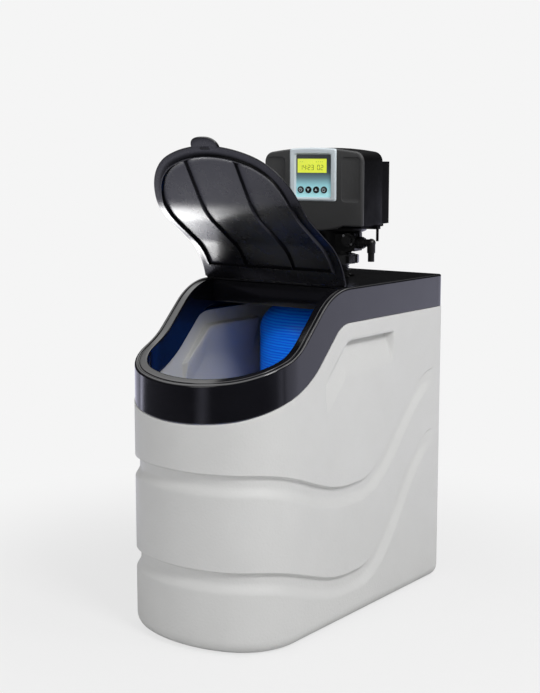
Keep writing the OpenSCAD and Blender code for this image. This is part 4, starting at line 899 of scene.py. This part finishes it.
EDGE, BULGE, LIT_FRONT_RINGS = 4, 10, 9
BEZEL_Z, POCKET_X, POCKET_Z, POCKET_W, POCKET_H, POCKET_R = 185.0, 74.5, 179, 37, 80, 7
levels = []
for a in np.linspace(math.pi / 2, 0, 8):
    levels.append((FRONT + EDGE - EDGE * math.sin(a), EDGE - EDGE * math.cos(a), BULGE))
levels += [(FRONT + 5.2, 0, BULGE), (FRONT + 6, 0.7, 9.6), (FRONT + 6, 0.7, 0), (FRONT + 6.7, 0.1, 0)]
levels += [(FRONT + 7.4, 0, 0), (-20, 0, 0), (REAR - 1.2, 0, 0), (REAR - 0.3, 0.3, 0), (REAR, 1.2, 0)]
levels += [(REAR, 3, 0), (FRONT + EDGE, 3, 0)]
rings = [head_ring(*level) for level in levels]
shape = empty_shape()
# The front face and its rounded edge take the lighter copy of the head's plastic, and the sides and back take
# the darker copy: painted light on the front, painted shade on the sides.
add_rings(shape, rings[:LIT_FRONT_RINGS])
add_rings(shape, rings[LIT_FRONT_RINGS - 1:], slot=1)
hole = [rect_loop(0, BEZEL_Z, 86, 84, 3, y) for y in (FRONT, FRONT + EDGE)]
add_rings(shape, hole)
openings = [hole[0]]
for x in (-POCKET_X, POCKET_X):
    pocket = []
    for t, dy in ((0, 0), (0.5, 0.9), (1.6, 1.5)):
        pocket.append(rect_loop(x, POCKET_Z, POCKET_W - 2 * t, POCKET_H - 2 * t, POCKET_R - t, FRONT + dy))
    add_rings(shape, pocket)
    fill_loops(shape, [pocket[-1]], (0, -1, 0))
    openings.append(pocket[0])
fill_loops(shape, [rings[0]] + openings, (0, -1, 0))
fill_loops(shape, [rings[-1], hole[1]], (0, 1, 0))
head_front = finish_mesh("head_front", shape, ["head_lit_grey", "head_shaded_black"], 32, VALVE)
seat(head_front, "cabinet", "head", "head_cover")


# %% Valve housing under the head
def plan_loop(x0, x1, half, r, z):
    """Rounded rectangle seen from above."""
    return [(x, y, z) for x, _, y in rect_loop((x0 + x1) / 2, 0, x1 - x0, 2 * half, r, 0)]


# Each level has a height, the right end, half the width and the radius of the corners.
HOUSING_X = -20
levels = ((38.6, 41, 21, 14), (40, 41.5, 21.5, 14), (43, 40, 18, 14), (49, 46, 15.5, 12), (64, 49, 15, 12),
          (75, 52, 15.5, 12), (79, 56, 17.5, 14), (82, 63, 21, 16), (84, 67, 23.5, 16),
          (85.5, 68.5, 24.6, 16), (90.5, 69, 25, 16), (91.7, 68, 24, 15))
shape = empty_shape()
add_rings(shape, [plan_loop(HOUSING_X, x1, half, r, z) for z, x1, half, r in levels], ends=True)
valve_housing = finish_mesh("valve_housing", shape, ["valve_black"], 40, VALVE)
seat(valve_housing, "cabinet", "valve")

# %% Display frame
OVER, BEZEL_LOW, BEZEL_TOP, CROWN_AT, CROWN_FROM = 13, 140.0, 233, 232.6, 226
BEZEL_SIDE, WINDOW_W, WINDOW_H = 93, 69, 76


def frame_outer(grow, y, r):
    """Outer loop of the frame: its top side follows the crown of the head."""
    side = BEZEL_SIDE + 2 * grow
    loop = rect_loop(0, (BEZEL_LOW + BEZEL_TOP) / 2, side, side, r, FRONT + y, over=OVER)
    return [(x, y, z + (crown_z(x, 0) - CROWN_AT if z > CROWN_FROM else 0)) for x, y, z in loop]


def frame_inner(grow, y, r):
    return rect_loop(0, BEZEL_Z, WINDOW_W + 2 * grow, WINDOW_H + 2 * grow, r, FRONT + y, over=OVER)


shape = empty_shape()
steps = [frame_outer(*step) for step in ((0, 5, 4), (0, -0.2, 4), (-0.5, -1.0, 3.8), (-2.6, -2.5, 3.2))]
inner_steps = ((3.6, -2.5, 5), (2.4, -2.1, 4.6), (0.5, 0.8, 3.4), (0, 1.8, 3), (2, 5, 3))
add_rings(shape, steps + [frame_inner(*step) for step in inner_steps], closed=True)
display_frame = finish_mesh("display_frame", shape, ["bezel_grey"], 30, VALVE)
seat(display_frame, "cabinet", "bezel", "bezel")

# %% [markdown]
# ## Display
# Behind the frame lies a printed panel that runs from near black at the top to pale blue at the keys, with a
# yellow green liquid crystal window. A gradient along Z does the print. The digits are plain seven-segment
# numbers; the segments repeat, so one bar is set on a cloud of points by Geometry Nodes.

# %% Panel print
PANEL_LOW, PANEL_TOP = (DECK + 147) * MM, (DECK + 223) * MM
finish["panel_print"], tree, at = new_material("panel_print")
part = add(tree, "ShaderNodeSeparateXYZ", Vector=at)
print_stops = ((0.0, (0.50, 0.92, 0.98)), (0.2, (0.34, 0.68, 0.75)), (0.42, (0.15, 0.26, 0.30)),
               (0.62, (0.06, 0.085, 0.10)), (1.0, (0.02, 0.026, 0.032)))
tone = colour_stops(tree, ramp(tree, part.outputs["Z"], PANEL_LOW, PANEL_TOP), print_stops)
sockets = {"Base Color": tone, "Emission Color": tone, "Emission Strength": 0.2, "Roughness": 0.28,
           "Normal": grain_bump(tree, at, 0.0004, 0.05)}
end_in_skin(tree, sockets)
print("panel stops", len(print_stops))

# %% Places of the segments
# A segment has a place in its digit, and 1 for an upright bar or 0 for a level one. Dots have the kind 2.
SEGMENTS = {"a": (0, 1, 0), "b": (0.5, 0.5, 1), "c": (0.5, -0.5, 1), "d": (0, -1, 0), "e": (-0.5, -0.5, 1),
            "f": (-0.5, 0.5, 1), "g": (0, 0, 0)}
DIGITS = {"0": "abcdef", "1": "bc", "2": "abged", "3": "abgcd", "4": "fgbc"}
DIGIT_PITCH, DIGIT_SIZE, DIGIT_Z, DOT = 6.8, 4.2, 200, 2


def digit_points(text, x):
    """Places and kinds of the segments of a number."""
    made = []
    for k, sign in enumerate(text):
        for sx, sz, upright in (SEGMENTS[name] for name in DIGITS[sign]):
            made.append((x + k * DIGIT_PITCH + sx * DIGIT_SIZE, DIGIT_Z + sz * DIGIT_SIZE, upright))
    return made


marks = digit_points("14", -25) + digit_points("23", -9) + digit_points("02", 10)
marks += [(-13.6, DIGIT_Z + up, DOT) for up in (-1.8, 1.8)]
marks += [(x, DIGIT_Z + 10, DOT) for x in (-27, -23, 6, 10, 14, 18)]
print("segments", len(marks))

# %% Segment tree
LCD_Y = FRONT + 2.15
bar_sizes = {"Length": 0.0036, "Width": 0.0008, "Depth": 0.00012}
cloud = bpy.data.meshes.new("segment_points")
cloud.from_pydata([tuple((VALVE @ Vector((x, LCD_Y, z))) * MM) for x, z, _ in marks], [], [])
kind = cloud.attributes.new("kind", "FLOAT", "POINT")
kind.data.foreach_set("value", [float(k) for _, _, k in marks])
tree, given, ids = geometry_tree("segments", bar_sizes)
join_xyz = partial(add, tree, "ShaderNodeCombineXYZ")
bar_size = join_xyz(X=given["Length"], Y=given["Depth"], Z=given["Width"])
bar = add(tree, "GeometryNodeMeshCube", Size=bar_size.outputs[0])
named = add(tree, "GeometryNodeInputNamedAttribute", Name="kind").outputs["Attribute"]
upright = maths(tree, "MODULO", named, 2.0)
turned = join_xyz(Y=maths(tree, "MULTIPLY", upright, math.pi / 2), Z=VALVE_TURN)
scaled = join_xyz(X=ramp(tree, named, 1.2, 1.8, 1.0, 0.4), Y=1.0, Z=1.0)
print("segment tree has", len(tree.nodes), "nodes so far")

# %% Digits
place = add(tree, "GeometryNodeInstanceOnPoints", Points=given["Geometry"], Instance=bar.outputs["Mesh"],
            Rotation=turned.outputs[0], Scale=scaled.outputs[0])
close_tree(tree, place.outputs[0], finish["lcd_ink"])
lcd_digits = run_tree("lcd_digits", cloud, tree, ids, bar_sizes)
seat(lcd_digits, "cabinet", "lcd")

# %% [markdown]
# ## Keys
# Each key is a round cap with a shallow dish and a printed sign: a clock, two arrows and a switch sign. A cap
# is a turned profile, so rings of a circle make it, and the sign is a thin raised outline on its face. The four
# caps ride on four bodies, because each key moves on its own.

# %% Key signs
KEY_R, KEY_Z, KEY_PITCH, KEYS_X = 6.0, 160.0, 15.5, -2
SIGN_Y = (FRONT + 0.5, FRONT + 0.02)


def flat_sign(shape, x, outline):
    add_rings(shape, [[(x + px, y, KEY_Z + pz) for px, pz in outline] for y in SIGN_Y], ends=True, slot=1)


def ring_sign(shape, x, r0, r1, a0, a1):
    """Part of a flat ring with a thickness."""
    corners = ((r0, SIGN_Y[0]), (r0, SIGN_Y[1]), (r1, SIGN_Y[1]), (r1, SIGN_Y[0]))
    turns = np.linspace(math.radians(a0), math.radians(a1), 30)
    rings = [[(x + r * math.cos(t), y, KEY_Z + r * math.sin(t)) for r, y in corners] for t in turns]
    add_rings(shape, rings, ends=True, slot=1)


def key_sign(shape, name, x):
    """An arrow, or a ring with a gap at the top and a hand: the clock's is closed, the switch's open."""
    if name in ("down", "up"):
        s = 1 if name == "up" else -1
        flat_sign(shape, x, [(-2.5, -1.9 * s), (2.5, -1.9 * s), (0, 2.6 * s)])
        return
    gap, reach = (35, 3.6) if name == "regen" else (4, 2.0)
    ring_sign(shape, x, 2.4, 3.3, 90 + gap, 450 - gap)
    flat_sign(shape, x, [(-0.4, 0.2), (0.4, 0.2), (0.4, reach), (-0.4, reach)])


# %% Key caps
CAP = ((0.3, 0.25), (3.2, 0.22), (4.6, 0.08), (5.2, 0), (5.7, 0.2), (KEY_R, 0.7), (KEY_R, 6))
for k, name in enumerate(("menu", "down", "up", "regen")):
    x = (k - 1.5) * KEY_PITCH + KEYS_X
    shape = empty_shape()
    rings = [[(x + px, FRONT + y, KEY_Z + pz) for px, pz in circle(r, 40)] for r, y in CAP]
    add_rings(shape, rings, ends=True)
    key_sign(shape, name, x)
    key = finish_mesh("key_cap_" + name, shape, ["key_black", "key_mark"], 30, VALVE)
    seat(key, "key_" + name, "keys", "button_" + name)

# %% [markdown]
# ## Finishes of the small solids
# Pieces whose CAD shape is already right keep it, and only get the finish of their plastic or metal. The table
# below names the finish of every such node once.

# %% Finishes of the CAD nodes
finish_of = {
    "valve_black": "tank_base tank_neck valve_body union_nuts brine_elbow drain_elbow overflow_elbow "
                   "overflow_nut gland_nut power_socket elbow_clip",
    # The head's base and back take the darker copy of its plastic, which is painted shade.
    "head_shaded_black": "head_base head_back", "seal_rubber": "neck_oring disc_seal",
    "white_plastic": "top_basket riser_tube bottom_basket valve_shaft meter_cage brine_well well_cap "
                     "brine_valve float_rod float_cup air_check salt_grid drive_gear",
    "ceramic_white": "fixed_disc moving_disc", "brass_metal": "port_tails motor_pinion",
    "screw_steel": "lid_hinge_pins cap_screws base_screws back_screws board_screws motor_screws",
    "resin_amber": "resin_bed", "turbine_blue": "meter_turbine injector", "cap_grey": "injector_cap",
    "motor_metal": "drive_motor", "board_green": "circuit_board", "panel_print": "display_panel",
    "lcd_green": "lcd",
}
for label, names in finish_of.items():
    for name in names.split():
        nodes[name].data.materials.clear()
        nodes[name].data.materials.append(finish[label])
print("finished nodes", sum(len(names.split()) for names in finish_of.values()))
